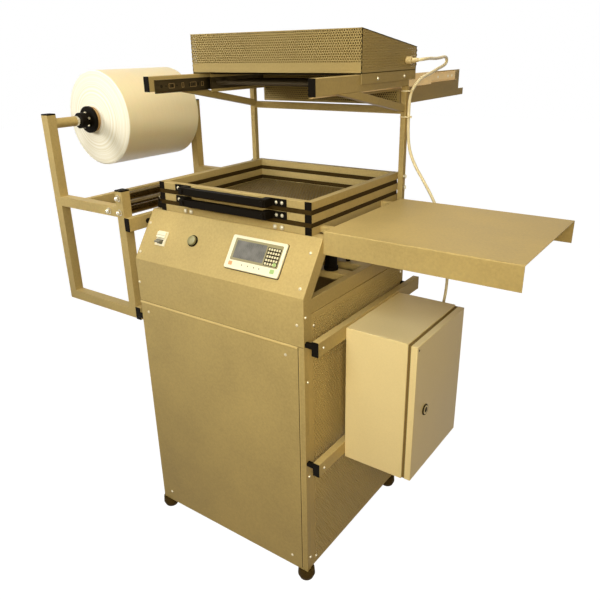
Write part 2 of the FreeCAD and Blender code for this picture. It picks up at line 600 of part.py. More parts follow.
def make_vacuum_table():
    """Perforated table plate on its suction box, with columns, hose and pump below."""
    x0 = "table_half - vacuum_inset"
    y0 = "table_front_y + vacuum_inset"
    y1 = "post_in_y - table_clear"
    top = "table_z - table_plate"
    node("vacuum_plate", block("-table_half", "table_half", "table_front_y", "table_rear_y", top, "table_z"))
    tray = cut(block("-(%s)" % x0, x0, y0, y1, "vacuum_z", top),
               block("-(%s) + vacuum_wall" % x0, x0 + " - vacuum_wall", y0 + " + vacuum_wall",
                     y1 + " - vacuum_wall", "vacuum_z + vacuum_wall", top),
               rod("Z", "0", "hose_y", "vacuum_z", "vacuum_z + vacuum_wall", "hose_d - 2 * vacuum_wall"))
    spout = pipe("Z", "0", "hose_y", "vacuum_z - spigot", "vacuum_z", "hose_d", "hose_d - 2 * vacuum_wall")
    node("vacuum_box", fuse(tray, spout))
    column = turned([("0", "side_rail_top"), ("column_foot_d / 2", "side_rail_top"),
                     ("column_foot_d / 2", "side_rail_top + column_foot_high"),
                     ("column_d / 2", "side_rail_top + column_foot_high + sheet"),
                     ("column_d / 2", "vacuum_z"), ("0", "vacuum_z")], "Z", ("column_x", "column_y", "0"))
    rear_column = rod("Z", "column_x", "rod_y", "side_rail_top", "vacuum_z", "rod_d")
    node("table_columns", *both_sides(column, rear_column))
    pump_z = "floor_z + sheet + pump_low"
    pump_top = "floor_z + sheet + pump_low + pump_h"
    node("vacuum_hose", pipe("Z", "0", "hose_y", pump_top + " + spigot", "vacuum_z - spigot",
                             "hose_d", "hose_d - 2 * vacuum_wall"))
    half = "pump_w / 2"
    axis_z = pump_top + " - motor_d / 2"
    body = block("-pump_w / 2", half, "hose_y - pump_d / 2", "hose_y + pump_d / 2", pump_z, pump_top)
    motor = rod("X", "hose_y", axis_z, half, half + " + motor_long", "motor_d")
    fan = rod("X", "hose_y", axis_z, half + " + motor_long", half + " + motor_long + spigot",
              "motor_d + 2 * vacuum_wall")
    case = block("-pump_w / 2 - oil_case", "-pump_w / 2", "hose_y - pump_d * 0.4", "hose_y + pump_d * 0.4",
                 pump_z, pump_top + " - spigot")
    inlet = pipe("Z", "0", "hose_y", pump_top, pump_top + " + spigot", "hose_d", "hose_d - 2 * vacuum_wall")
    feet = [block(x, x + " + spigot", y, y + " + spigot", "floor_z + sheet", pump_z)
            for x in ("-pump_w / 2", "pump_w / 2 - spigot")
            for y in ("hose_y - pump_d / 2", "hose_y + pump_d / 2 - spigot")]
    node("vacuum_pump", fuse(body, motor, fan, case, inlet, *feet))


def make_heater_stand():
    """Rear posts, their two cross tubes and the beams that carry the slides, with their braces."""
    holes = [rod("X", "hinge_y", height, "stand_x - tube_wall", "stand_out_x + tube_wall",
                 "pivot_d + 2 * pin_clear") for height in ("middle_axis_z", "upper_axis_z")]
    post = cut(tube("Z", "stand_x", "stand_out_x", "stand_y", "stand_rear_y", "stand_low_z", "beam_z"),
               *holes)
    crosses = [tube("X", "-stand_x", "stand_x", "stand_y", "stand_rear_y", z, z + " + cross_high")
               for z in ("cross_z", "stand_low_z")]
    node("heater_stand", *both_sides(post), *crosses)
    beam = tube("Y", "beam_in_x", "beam_out_x", "beam_front_y", "stand_rear_y", "beam_z", "beam_top")
    rise = "(beam_z - brace_low_z) / (stand_y - brace_front_y)"
    brace = padded("YZ_Plane", [("stand_y", "brace_low_z"), ("stand_y", "brace_low_z + brace_high"),
                                ("stand_y - (beam_z - brace_low_z - brace_high) / (%s)" % rise, "beam_z"),
                                ("brace_front_y", "beam_z")], "beam_in_x", "beam_out_x")
    node("heater_beams", *both_sides(beam, brace))
    web = "slide_sheet"
    member = padded("XZ_Plane", [("beam_in_x", "slide_z"), ("beam_in_x", "slide_top"),
                                 ("beam_in_x - slide_lip", "slide_top"),
                                 ("beam_in_x - slide_lip", "slide_top - " + web),
                                 ("beam_in_x - " + web, "slide_top - " + web),
                                 ("beam_in_x - " + web, "slide_z + " + web),
                                 ("beam_in_x - slide_lip", "slide_z + " + web),
                                 ("beam_in_x - slide_lip", "slide_z")],
                    "slide_front_y", "slide_front_y + slide_long")
    node("slide_outer_members", *both_sides(member))
    cage_x = "beam_in_x - slide_sheet - cage_gap"
    cage_top = "slide_top - slide_sheet - cage_gap"
    cage_low = "slide_z + slide_sheet + cage_gap"
    back = cage_x + " - cage_sheet"
    lip = cage_x + " - inner_lip"
    cage = padded("XZ_Plane", [(cage_x, cage_low), (cage_x, cage_top), (lip, cage_top),
                               (lip, cage_top + " - cage_sheet"), (back, cage_top + " - cage_sheet"),
                               (back, cage_low + " + cage_sheet"), (lip, cage_low + " + cage_sheet"),
                               (lip, cage_low)], "cage_y", "cage_y + cage_long")
    node("slide_ball_cages", *both_sides(cage))


def make_carriage():
    """Inner slide members, side webs and tray, with the perforated heater hood above."""
    web = "slide_sheet"
    root = "slide_in_x"
    member = padded("XZ_Plane", [(root, "inner_z"), (root, "inner_top"), (root + " + inner_lip", "inner_top"),
                                 (root + " + inner_lip", "inner_top - " + web),
                                 (root + " + " + web, "inner_top - " + web),
                                 (root + " + " + web, "inner_z + " + web),
                                 (root + " + inner_lip", "inner_z + " + web),
                                 (root + " + inner_lip", "inner_z")], "inner_y", "inner_y + slide_long")
    node("slide_inner_members", *both_sides(member))
    side = padded("YZ_Plane", [("side_front_y", "side_low_z"), ("side_step_y", "side_low_z"),
                               ("side_step_y", "tray_z"), ("tray_lip_y", "tray_z"),
                               ("tray_lip_y", "tray_z + tray_lip_high"),
                               ("tray_end_y", "tray_z + tray_lip_high"), ("tray_end_y", "web_top_z"),
                               ("side_step_y", "web_top_z"), ("side_step_y", "hood_z"),
                               ("side_front_y", "hood_z")], "web_x", "slide_in_x")
    floor = block("-web_x", "web_x", "side_step_y", "tray_lip_y", "tray_z", "tray_z + sheet")
    wall = block("-web_x", "web_x", "side_step_y", "side_step_y + sheet", "tray_z + sheet", "web_top_z")
    node("carriage_tray", fuse(floor, wall, *both_sides(side)))

    shell = padded("YZ_Plane", [("hood_front_y", "hood_z"), ("hood_front_y", "hood_front_z"),
                                ("hood_rear_y", "hood_rear_z"), ("hood_rear_y", "hood_z")],
                   "-hood_half", "hood_half")
    inside = padded("YZ_Plane", [("hood_front_y + sheet", "hood_z + sheet"),
                                 ("hood_front_y + sheet", "hood_front_z - sheet"),
                                 ("hood_rear_y - sheet", "hood_rear_z - sheet"),
                                 ("hood_rear_y - sheet", "hood_z + sheet")],
                    "-hood_half + sheet", "hood_half - sheet")
    mouth = block("-hood_half + hood_ring + sheet", "hood_half - hood_ring - sheet",
                  "hood_front_y + hood_ring", "hood_rear_y - hood_ring", "hood_z", "hood_z + sheet")
    skirt = block("hood_half - sheet", "hood_half", "hood_front_y", "hood_rear_y", "skirt_z", "hood_z")
    node("heater_hood", fuse(cut(shell, inside, mouth), *both_sides(skirt)))
    node("heater_reflector", block("-web_x", "web_x", "side_front_y", "side_step_y - sheet",
                                   "hood_z - reflector_drop - sheet", "hood_z - reflector_drop"))
    node("infrared_elements", *[rod("X", "element_y + %d * element_pitch" % number, "element_z",
                                    "-web_x", "web_x", "element_d")
                                for number in range(SIZES["element_count"])])
    node("heater_gland", rod("X", "cable_gland_y", "cable_gland_z", "hood_half", "hood_half + gland_long",
                             "gland_d"))


def make_mount_rails():
    """Square-tube rails beside the cabinet, the bushes they stand off on, and all fixed tube plugs."""
    def rail(x0, y0, y1, z0):
        return tube("Y", x0, x0 + " + mount_rail_t", y0, y1, z0, z0 + " + mount_rail_high")

    def ends(x0, y0, y1, z0):
        return [block(x0, x0 + " + mount_rail_t", start, end, z0, z0 + " + mount_rail_high")
                for start, end in ((y0 + " - cap", y0), (y1, y1 + " + cap"))]
    left = [("-left_x", "left_front_y", "left_rear_y", z) for z in ("left_top_z", "left_low_z")]
    right = [("right_x", "right_front_y", "right_rear_y", z) for z in ("right_top_z", "right_low_z")]
    node("left_mount_rails", *[rail(*place) for place in left])
    node("right_mount_rails", *[rail(*place) for place in right])

    middle = " + mount_rail_high / 2"
    cheek_y = "-half_d + (left_top_z%s - fold_z) / tan(slope) + cheek_spacer" % middle
    bushes = [rod("X", cheek_y, "left_top_z" + middle, "-right_x", "-half_w", "spacer_d"),
              rod("X", "spacer_y", "left_top_z" + middle, "-right_x", "-post_x", "spacer_d")]
    for y in ("-spacer_y", "spacer_y"):
        bushes.append(rod("X", y, "left_low_z" + middle, "-right_x", "-half_w", "spacer_d"))
        for z in ("right_top_z", "right_low_z"):
            bushes.append(rod("X", y, z + middle, "half_w", "right_x", "spacer_d"))
    node("rail_spacers", *bushes)

    plugs = [plug for place in left + right for plug in ends(*place)]
    for x0, top in (("-arm_out_x", "outer_top_z"), ("-arm_inner_x", "inner_top_z")):
        for y0 in ("arm_front_y", "arm_rear_y"):
            plugs.append(block(x0, x0 + " + arm_tube", y0, y0 + " + arm_tube", top, top + " + plug"))
    plugs += both_sides(block("beam_in_x", "beam_out_x", "beam_front_y - cap", "beam_front_y",
                              "beam_z", "beam_top"),
                        block("beam_in_x", "beam_out_x", "stand_rear_y", "stand_rear_y + cap",
                              "beam_z", "beam_top"))
    node("tube_end_caps", *plugs, *frame_caps("deck_z"))


ROLLERS = (("upper", "roller_x", "roller_high_z"), ("inner", "roller_x", "roller_low_z"),
           ("outer", "roller_out_x", "roller_low_z"))


def roll_arm(y0, inner_face, sleeve_start, sleeve_end):
    """Weld one frame of the roll stand, with holes for the roller shafts and a sleeve for the roll."""
    y1 = y0 + " + arm_tube"

    def bar(axis, x0, x1, z0, z1):
        return tube(axis, x0, x1, y0, y1, z0, z1, "arm_wall")
    frame = fuse(bar("Z", "-arm_out_x", "arm_tube - arm_out_x", "arm_low_z", "outer_top_z"),
                 bar("Z", "-arm_inner_x", "-left_x", "arm_low_z", "inner_top_z"),
                 bar("X", "arm_tube - arm_out_x", "-arm_inner_x", "arm_low_z", "arm_low_top"),
                 bar("X", "arm_tube - arm_out_x", "-arm_inner_x", "arm_rail_z", "arm_rail_top"),
                 rod("Y", "-roll_x", "roll_z", sleeve_start, sleeve_end, "sleeve_d"))
    bores = [rod("Y", "-" + x, z, y0, y1, "roller_shaft_d + 2 * pin_clear") for name, x, z in ROLLERS]
    low, high = inner_face
    bores.append(rod("Y", "-roll_x", "roll_z", low, high, "roll_shaft_d + 2 * bearing_clear"))
    return cut(frame, *bores)


def make_roll_stand():
    """Two tube frames and a tie that carry the film roll on its shaft, and the three guide rollers."""
    front_face = "arm_front_y + arm_tube"
    node("roll_arm_front", roll_arm("arm_front_y", ("arm_front_y + arm_tube - arm_wall * 2",
                                                    front_face + " + sleeve_long"),
                                    front_face, front_face + " + sleeve_long"))
    rear_start = "arm_rear_y - rear_sleeve_long"
    node("roll_arm_rear", roll_arm("arm_rear_y", (rear_start, "arm_rear_y + arm_wall * 2"),
                                   rear_start, "arm_rear_y"))
    node("roll_tie_rail", tube("Y", "-tie_x", "mount_rail_t - tie_x", front_face, "arm_rear_y",
                               "tie_z", "tie_z + tie_high"))
    shafts = []
    for name, x, z in ROLLERS:
        start = "arm_front_y - nut_high"
        long = "left_rear_y - arm_front_y + 2 * nut_high"
        shafts.append(turned([("0", "0"), ("nut_d * 0.35", "0.6"), ("nut_d / 2", "nut_high / 2"),
                              ("nut_d / 2", "nut_high"), ("roller_shaft_d / 2", "nut_high"),
                              ("roller_shaft_d / 2", long + " - nut_high"),
                              ("nut_d / 2", long + " - nut_high"), ("nut_d / 2", long + " - nut_high / 2"),
                              ("nut_d * 0.35", long + " - 0.6"), ("0", long)], "Y", ("-" + x, start, z)))
        node("guide_roller_" + name, pipe("Y", "-" + x, z, front_face + " + roller_end_gap",
                                          "arm_rear_y - roller_end_gap", "roller_d",
                                          "roller_shaft_d + 2 * pin_clear"))
    node("roller_shafts", *shafts)

    def on_axis(start, end, outer, bore):
        return pipe("Y", "-roll_x", "roll_z", start, end, outer, bore)
    node("film_roll", on_axis("roll_y", "roll_rear_y", "roll_d", "core_d"))
    node("roll_core", on_axis("roll_y", "roll_rear_y", "core_d", "core_bore"))
    node("roll_shaft", rod("Y", "-roll_x", "roll_z", "arm_front_y + arm_wall * 7",
                           "left_rear_y - arm_wall * 7", "roll_shaft_d"))
    chuck = cut(turned([("0", "0"), ("chuck_hub_d / 2 - sheet", "0"), ("chuck_hub_d / 2", "sheet"),
                        ("chuck_hub_d / 2", "chuck_long - chuck_rim - sheet * 2"),
                        ("chuck_rim_d / 2", "chuck_long - chuck_rim"), ("chuck_rim_d / 2", "chuck_long"),
                        ("core_bore / 2 - seal_gap", "chuck_long"),
                        ("core_bore / 2 - sheet", "chuck_long + chuck_nose"),
                        ("0", "chuck_long + chuck_nose")],
                       "Y", ("-roll_x", "roll_y - chuck_long", "roll_z")),
                rod("Y", "-roll_x", "roll_z", "roll_y - chuck_long", "roll_y + chuck_nose", "roll_shaft_d"))
    rear = mirror(chuck, Vector(0, 1, 0))
    rear.setExpression("Base.y", rule("roll_y + roll_w / 2"))
    node("roll_chucks", chuck, rear)


def make_electric_box():
    """Wall box on the right rails, with its gear inside and a door on rear hinges."""
    wall = "tube_wall"
    rim = cut(block("box_mouth - tube_wall", "box_mouth", "box_y", "box_rear_y", "box_z", "box_top"),
              block("box_mouth - tube_wall", "box_mouth", "box_y + box_rim", "box_rear_y - box_rim",
                    "box_z + box_rim", "box_top - box_rim"))
    shell = cut(block("box_x", "box_mouth", "box_y", "box_rear_y", "box_z", "box_top"),
                block("box_x + " + wall, "box_mouth", "box_y + " + wall, "box_rear_y - " + wall,
                      "box_z + " + wall, "box_top - " + wall))
    bases = ("box_z + hinge_end", "box_top - hinge_end - 2 * knuckle")
    pieces = [shell, rim]
    knuckles = []
    for base in bases:
        split = base + " + knuckle"
        top = base + " + 2 * knuckle"
        axis = ("Z", "door_x", "hinge_axis_y")
        pieces.append(fuse(block("door_x - leaf_w", "door_x", "box_rear_y", "box_rear_y + leaf", base, split),
                           rod(*axis, base, split, "hinge_d"),
                           rod(*axis, split, top, "hinge_pin_d")))
        knuckles.append(cut(fuse(block("door_x + seal_gap", "door_out_x - leaf", "box_rear_y",
                                       "box_rear_y + leaf", split + " + seal_gap", top),
                                 rod(*axis, split + " + seal_gap", top, "hinge_d")),
                            rod(*axis, split, top, "hinge_pin_d + 2 * pin_clear")))
    leaves = pieces[2:]
    node("electric_box_body", fuse(pieces[0], pieces[1], *leaves))
    node("box_gasket", cut(block("box_mouth", "door_x - seal_gap", "box_y + leaf", "box_rear_y - leaf",
                                 "door_z", "door_top"),
                           block("box_mouth", "door_x", "box_y + leaf + box_seal_w",
                                 "box_rear_y - leaf - box_seal_w", "door_z + box_seal_w",
                                 "door_top - box_seal_w")))
    door = cut(block("door_x", "door_out_x", "box_y", "box_rear_y", "door_z", "door_top"),
               block("door_x", "door_out_x - " + wall, "box_y + " + wall, "box_rear_y - " + wall,
                     "door_z + " + wall, "door_top - " + wall),
               rod("X", "lock_y", "lock_z", "door_x", "door_out_x", "lock_d + 2 * bearing_clear"))
    ring = pipe("X", "lock_y", "lock_z", "door_out_x", "door_out_x + lock_proud", "lock_ring_d",
                "lock_d + 2 * bearing_clear")
    node("electric_box_door", door, ring, *knuckles)
    plug = rod("X", "lock_y", "lock_z", "door_x", "door_out_x + lock_proud", "lock_d")
    slot = block("door_out_x + lock_proud / 4", "door_out_x + 2 * lock_proud", "lock_y - lock_d / 4",
                 "lock_y + lock_d / 4", "lock_z - lock_proud / 4", "lock_z + lock_proud / 4")
    cam = block("door_x", "door_x + cam_t", "lock_y - cam_w / 2", "lock_y + cam_w / 2", "lock_z",
                "lock_z + cam_long")
    node("door_lock", fuse(cut(plug, slot), cam))

    plate_x = "box_x + tube_wall + plate_gap"
    low_y = "box_y + plate_inset"
    high_y = "box_rear_y - plate_inset"
    plate = block(plate_x, plate_x + " + sheet", low_y, high_y,
                  "box_z + plate_inset", "box_top - plate_inset")
    studs = [rod("X", y, z, "box_x + tube_wall", plate_x, "stud_d")
             for y in (low_y + " + stud_d", high_y + " - stud_d")
             for z in ("box_z + plate_inset + stud_d", "box_top - plate_inset - stud_d")]
    gear_x = plate_x + " + sheet"
    deep = gear_x + " + gear_deep"
    third = "(box_high - 2 * plate_inset - 2 * gear_gap) / 3"
    width = "(box_w - 2 * plate_inset - 2 * gear_gap)"
    modules = []
    rows = ((0, "0.9", "gear_gap * 3"), (1, "0.7", "gear_deep"), (2, "0.8", "gear_deep * 0.9"))
    for row, share, depth in rows:
        low_z = "box_z + plate_inset + gear_gap + %d * %s" % (row, third)
        modules.append(block(gear_x, gear_x + " + " + depth, low_y + " + gear_gap",
                             low_y + " + gear_gap + %s * %s" % (width, share), low_z,
                             low_z + " + %s - gear_gap" % third))
    node("control_gear", fuse(plate, *studs), *modules)
    node("box_gland", rod("Y", "box_gland_x", "box_gland_z", "box_rear_y", "box_rear_y + gland_long",
                          "gland_d"))


def make_side_table():
    """Folded sheet shelf to the right of the film frames, on two short tubes."""
    top = "side_table_z - sheet"
    low = "side_table_z - side_table_lip"
    rear = "side_table_y + side_table_d"
    node("side_table", padded("YZ_Plane", [
        ("side_table_y", low), ("side_table_y", "side_table_z"), (rear, "side_table_z"), (rear, low),
        (rear + " - sheet", low), (rear + " - sheet", top), ("side_table_y + sheet", top),
        ("side_table_y + sheet", low)], "half_w", "table_end_x"))
    node("side_table_brackets", *[tube("X", "frame_half", "frame_half + bracket_long", y, y + " + bracket",
                                       top + " - bracket", top)
                                  for y in ("bracket_front_y", "bracket_rear_y")])


# Route of the heater cable, in the machine's own X, Y and Z from the middle of the cabinet: out of the
# hood's gland, back in a loop behind the hood, down the right-hand stand post and across to the electric box
CABLE = [(302.9, 260, 1421), (322, 263, 1422), (332, 283, 1424), (327, 322, 1425), (319, 372, 1423),
         (314, 420, 1424), (311, 458, 1427), (309, 482, 1423), (308, 484, 1409), (307, 464, 1401),
         (306, 425, 1394), (306, 380, 1384), (305, 330, 1376), (303, 300, 1364), (296, 284, 1346),
         (290.5, 279, 1318), (290, 279, 1270), (291, 280, 1220), (296, 282, 1178), (312, 288, 1135),
         (338, 298, 1090), (366, 308, 1040), (391, 314, 985), (411, 315, 926), (426, 309, 866),
         (436, 297, 807), (441, 277, 752), (442, 247, 702), (441, 214, 668), (440, 190, 651),
         (440, 172.4, 650)]
FOLD = 0.45


def make_cable():
    """Free cable of the heater; its ends keep to the two glands, and the route between them follows."""
    shift = Vector(value("shift_x"), value("shift_y"), 0)
    start = Vector(value("hood_half + gland_long + cable_start"), value("cable_gland_y"),
                   value("cable_gland_z")) - Vector(*CABLE[0])
    end = Vector(value("box_gland_x"), value("box_rear_y + gland_long + cable_end"),
                 value("box_gland_z")) - Vector(*CABLE[-1])
    last = len(CABLE) - 1
    route = [Vector(*spot) + start * (1 - number / last) + end * (number / last)
             for number, spot in enumerate(CABLE)]
    item = bent_tube("heater_cable", route, FOLD, SIZES["cable_d"])
    item.Label = "heater_cable"
    item.Placement.Base = shift
    NODES.append(item)


make_cabinet()
make_console()
make_film_frames()
make_vacuum_table()
make_heater_stand()
make_carriage()
make_mount_rails()
make_roll_stand()
make_electric_box()
make_side_table()
make_cable()
doc.recompute()

for item in doc.Objects:
    if {"Invalid", "Error"} & set(item.State):
        raise RuntimeError("%s (%s) failed: %s" % (item.Name, item.Label, item.State))
for item in NODES:
    if item.Shape.isNull() or not item.Shape.isValid():
        raise RuntimeError("%s has no valid shape" % item.Label)
for item in NODES:
    item.Shape.exportStep("parts/%s.step" % item.Label)
print(len(NODES), "sub-parts written")
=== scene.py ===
import bmesh
import bpy
import json
import math
from mathutils import Matrix, Vector

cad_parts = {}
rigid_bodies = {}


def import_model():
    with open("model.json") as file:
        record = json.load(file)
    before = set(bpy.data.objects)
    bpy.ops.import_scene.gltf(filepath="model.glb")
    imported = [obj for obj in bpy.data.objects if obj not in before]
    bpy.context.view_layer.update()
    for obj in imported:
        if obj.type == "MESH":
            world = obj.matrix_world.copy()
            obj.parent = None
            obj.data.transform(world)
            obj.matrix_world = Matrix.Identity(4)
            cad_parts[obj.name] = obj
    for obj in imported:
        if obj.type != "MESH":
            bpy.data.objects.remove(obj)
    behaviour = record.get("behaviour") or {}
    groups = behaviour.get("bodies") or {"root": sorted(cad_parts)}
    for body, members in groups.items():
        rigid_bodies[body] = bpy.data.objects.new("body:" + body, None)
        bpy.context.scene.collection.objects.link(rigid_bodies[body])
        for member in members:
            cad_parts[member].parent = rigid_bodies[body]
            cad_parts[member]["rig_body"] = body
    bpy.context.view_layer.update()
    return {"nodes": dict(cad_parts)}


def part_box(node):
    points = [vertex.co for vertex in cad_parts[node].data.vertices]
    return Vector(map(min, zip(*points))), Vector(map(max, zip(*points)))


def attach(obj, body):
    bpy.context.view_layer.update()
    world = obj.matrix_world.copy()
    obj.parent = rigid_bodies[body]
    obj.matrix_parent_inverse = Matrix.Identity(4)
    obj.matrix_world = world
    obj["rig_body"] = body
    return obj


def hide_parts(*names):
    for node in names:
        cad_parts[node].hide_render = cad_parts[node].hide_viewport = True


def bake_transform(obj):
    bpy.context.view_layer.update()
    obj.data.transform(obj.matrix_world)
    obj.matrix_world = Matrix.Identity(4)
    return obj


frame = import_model()

bl_info = {
    "name": "Skin packaging machine",
    "version": (1, 0, 0),
    "blender": (4, 5, 0),
    "location": "3D View > Sidebar > Machine",
    "description": "Dresses the machine's solids with finished pieces, screws, sheet holes and materials",
    "category": "Object",
}

# Lengths in the operators are millimetres in the machine's own directions: X right, Y back and Z up from
# ORIGIN, the middle of the cabinet on the floor. SET turns them to the frame that the solids stand in, which
# like ORIGIN is in metres.
MM = 0.001
ORIGIN = (0.014, -0.2545, 0)
SET = Matrix.Translation(ORIGIN) @ Matrix.Scale(MM, 4)


def extent(node):
    """Give the low and the high corner of a CAD node in the machine's own millimetres."""
    return [Vector([round(part, 1) for part in SET.inverted() @ corner]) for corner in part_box(node)]


def middle(node):
    """Give the middle of a CAD node, to the whole millimetre."""
    low, high = extent(node)
    return Vector([round(part) for part in (low + high) / 2])


# Half the cabinet's width and depth, and the height of the deck behind the console
HALF_W, HALF_D = extent("cabinet_panels")[1].xy
DECK_Z = extent("console_cover")[1].z
# Height of the fold below the console's slope, and how far back the slope runs
FOLD_Z, SLOPE_BACK = 896, 88
SLOPE = math.atan2(DECK_Z - FOLD_Z, SLOPE_BACK)
# On the console's slope X runs right, Y up the slope and Z out of it
ON_SLOPE = SET @ Matrix.Translation((0, -HALF_D, FOLD_Z)) @ Matrix.Rotation(SLOPE, 4, "X")
# Edges flatter than SHARP are shaded smooth and those past FOLDED can be rounded over; faces within FLAT of
# each other are one, as are corners nearer than MERGE, in metres
SHARP, FOLDED, FLAT = math.radians(20), math.radians(28), math.radians(0.4)
MERGE = 1e-6
# A broad and a fine edge are rounded where both faces are wider than this many of its radius
BROAD_ROOM, FINE_ROOM = 5, 2.4
FINISHES = {}


def hex_colour(text):
    """Turn an sRGB hex value to a linear colour."""
    parts = [int(text[start:start + 2], 16) / 255 for start in (1, 3, 5)]
    return tuple(part / 12.92 if part <= 0.04045 else ((part + 0.055) / 1.055) ** 2.4
                 for part in parts) + (1.0,)


# Settings

def length(name, description, default):
    """Give a length setting, its default in millimetres."""
    return bpy.props.FloatProperty(name=name, description=description, default=default * MM,
                                   min=0.0, precision=4, unit="LENGTH", subtype="DISTANCE")


def colour(name, description, default):
    """Give a colour setting."""
    return bpy.props.FloatVectorProperty(name=name, description=description, size=4, min=0.0, max=1.0,
                                         default=hex_colour(default), subtype="COLOR")


class MachineSizes(bpy.types.PropertyGroup):
    """Sizes of the details that the finished pieces add to the solids."""
    tube_radius: length("Tube corner", "Outside corner radius of the square tubes", 1.6)
    fold_radius: length("Sheet fold", "Outside radius of a folded sheet", 2.6)
    edge_radius: length("Fine edge", "Radius of trimmed sheet and plastic edges", 0.5)
    panel_pitch: length("Panel hole pitch", "Distance between the holes of the side panels", 10)
    panel_hole: length("Panel hole", "Width of the holes of the side panels", 3.9)
    hood_pitch: length("Hood hole pitch", "Distance between the holes of the heater hood", 7)
    hood_hole: length("Hood hole", "Width of the holes of the heater hood", 3.8)
    table_pitch: length("Table hole pitch", "Distance between the holes of the vacuum table", 10)
    table_hole: length("Table hole", "Width of the holes of the vacuum table", 5)
    screw_head: length("Screw head", "Width of the panel screws' heads", 7.5)
    cable: length("Heater cable", "Diameter of the heater cable", 9)
    cable_long: length("Heater cable length", "Length of the heater cable between its glands", 1248)


class MachineColours(bpy.types.PropertyGroup):
    """Colours of the machine's main finishes."""
    frame_paint: colour("Frame paint", "Powder coat of the cabinet, tubes and hood", "#b9a168")
    box_paint: colour("Box paint", "Powder coat of the electric box", "#edd69c")
    film: colour("Film", "Wound film of the roll", "#f6e6bb")
    plastic: colour("Black plastic", "Plugs, handles and chucks", "#100b04")
    cable: colour("Cable", "Sheath of the heater cable", "#f2e2b4")


class MachineStage(bpy.types.PropertyGroup):
    """Camera and lamps."""
    lens: bpy.props.FloatProperty(name="Lens", description="Focal length on a 36 mm sensor",
                                  default=36.877, unit="CAMERA")
    key: bpy.props.FloatProperty(name="Key lamp", description="Power of the soft lamp in front and above",
                                 default=5.5, unit="POWER")
    fill: bpy.props.FloatProperty(name="Fill lamp", description="Power of the soft lamp beside the camera",
                                  default=13.0, unit="POWER")
    top: bpy.props.FloatProperty(name="Top lamp", description="Power of the soft lamp overhead",
                                 default=22.0, unit="POWER")
    side: bpy.props.FloatProperty(name="Side lamp", description="Power of the soft lamp at the roll's side",
                                  default=2.6, unit="POWER")
    room: bpy.props.FloatProperty(name="Room light", description="Strength of the even light all round",
                                  default=0.1)


# Materials

def add_node(tree, kind, inputs=None, **settings):
    """Add a shader node with its settings, and fill or link its inputs."""
    made = tree.nodes.new(kind)
    for name, value in settings.items():
        setattr(made, name, value)
    for name, value in (inputs or {}).items():
        if isinstance(value, bpy.types.NodeSocket):
            tree.links.new(value, made.inputs[name])
        else:
            made.inputs[name].default_value = value
    return made


def shaded(base, share):
    """Give a colour times a share."""
    return tuple(min(part * share, 1.0) for part in base[:3]) + (1.0,)


def start_material(name, **sockets):
    """Start a material on the principled shader; its places are the object's own coordinates, in metres."""
    material = bpy.data.materials.new(name)
    material.use_nodes = True
    tree = material.node_tree
    tree.nodes.clear()
    shader = add_node(tree, "ShaderNodeBsdfPrincipled",
                      {key.replace("_", " "): value for key, value in sockets.items()})
    add_node(tree, "ShaderNodeOutputMaterial", {"Surface": shader.outputs["BSDF"]})
    place = add_node(tree, "ShaderNodeTexCoord").outputs["Object"]
    FINISHES[name] = material
    return tree, shader, place


def grained(name, base, grain, patch, spread, gloss, relief, stretch=(1, 1, 1), **sockets):
    """Make a finish that varies in fine grains and in broad patches.

    The grain, the patch and the relief are in millimetres. The spread is the share by which the tone goes
    down and up, and the gloss holds the lowest and the highest roughness.
    """
    tree, shader, place = start_material(name, **sockets)
    turned = add_node(tree, "ShaderNodeMapping", {"Vector": place, "Scale": stretch})
    fine = add_node(tree, "ShaderNodeTexNoise", {"Vector": turned.outputs["Vector"],
                                                 "Scale": 1 / (grain * MM), "Detail": 3.0,
                                                 "Roughness": 0.55})
    broad = add_node(tree, "ShaderNodeTexNoise", {"Vector": place, "Scale": 1 / (patch * MM), "Detail": 2.0})
    both = add_node(tree, "ShaderNodeMath", {0: fine.outputs["Fac"], 1: broad.outputs["Fac"]},
                    operation="ADD")
    # The two noises add up to about 1, and seldom leave the stretch between these
    reach = {"Value": both.outputs["Value"], "From Min": 0.6, "From Max": 1.4}
    level = add_node(tree, "ShaderNodeMapRange", reach)
    tone = add_node(tree, "ShaderNodeMix", {0: level.outputs["Result"], 6: shaded(base, 1 - spread),
                                            7: shaded(base, 1 + spread)}, data_type="RGBA")
    low, high = gloss
    sheen = add_node(tree, "ShaderNodeMapRange", {**reach, "To Min": low, "To Max": high})
    bump = add_node(tree, "ShaderNodeBump", {"Height": fine.outputs["Fac"], "Distance": relief * MM,
                                             "Strength": 0.6})
    tree.links.new(tone.outputs[2], shader.inputs["Base Color"])
    tree.links.new(sheen.outputs["Result"], shader.inputs["Roughness"])
    tree.links.new(bump.outputs["Normal"], shader.inputs["Normal"])


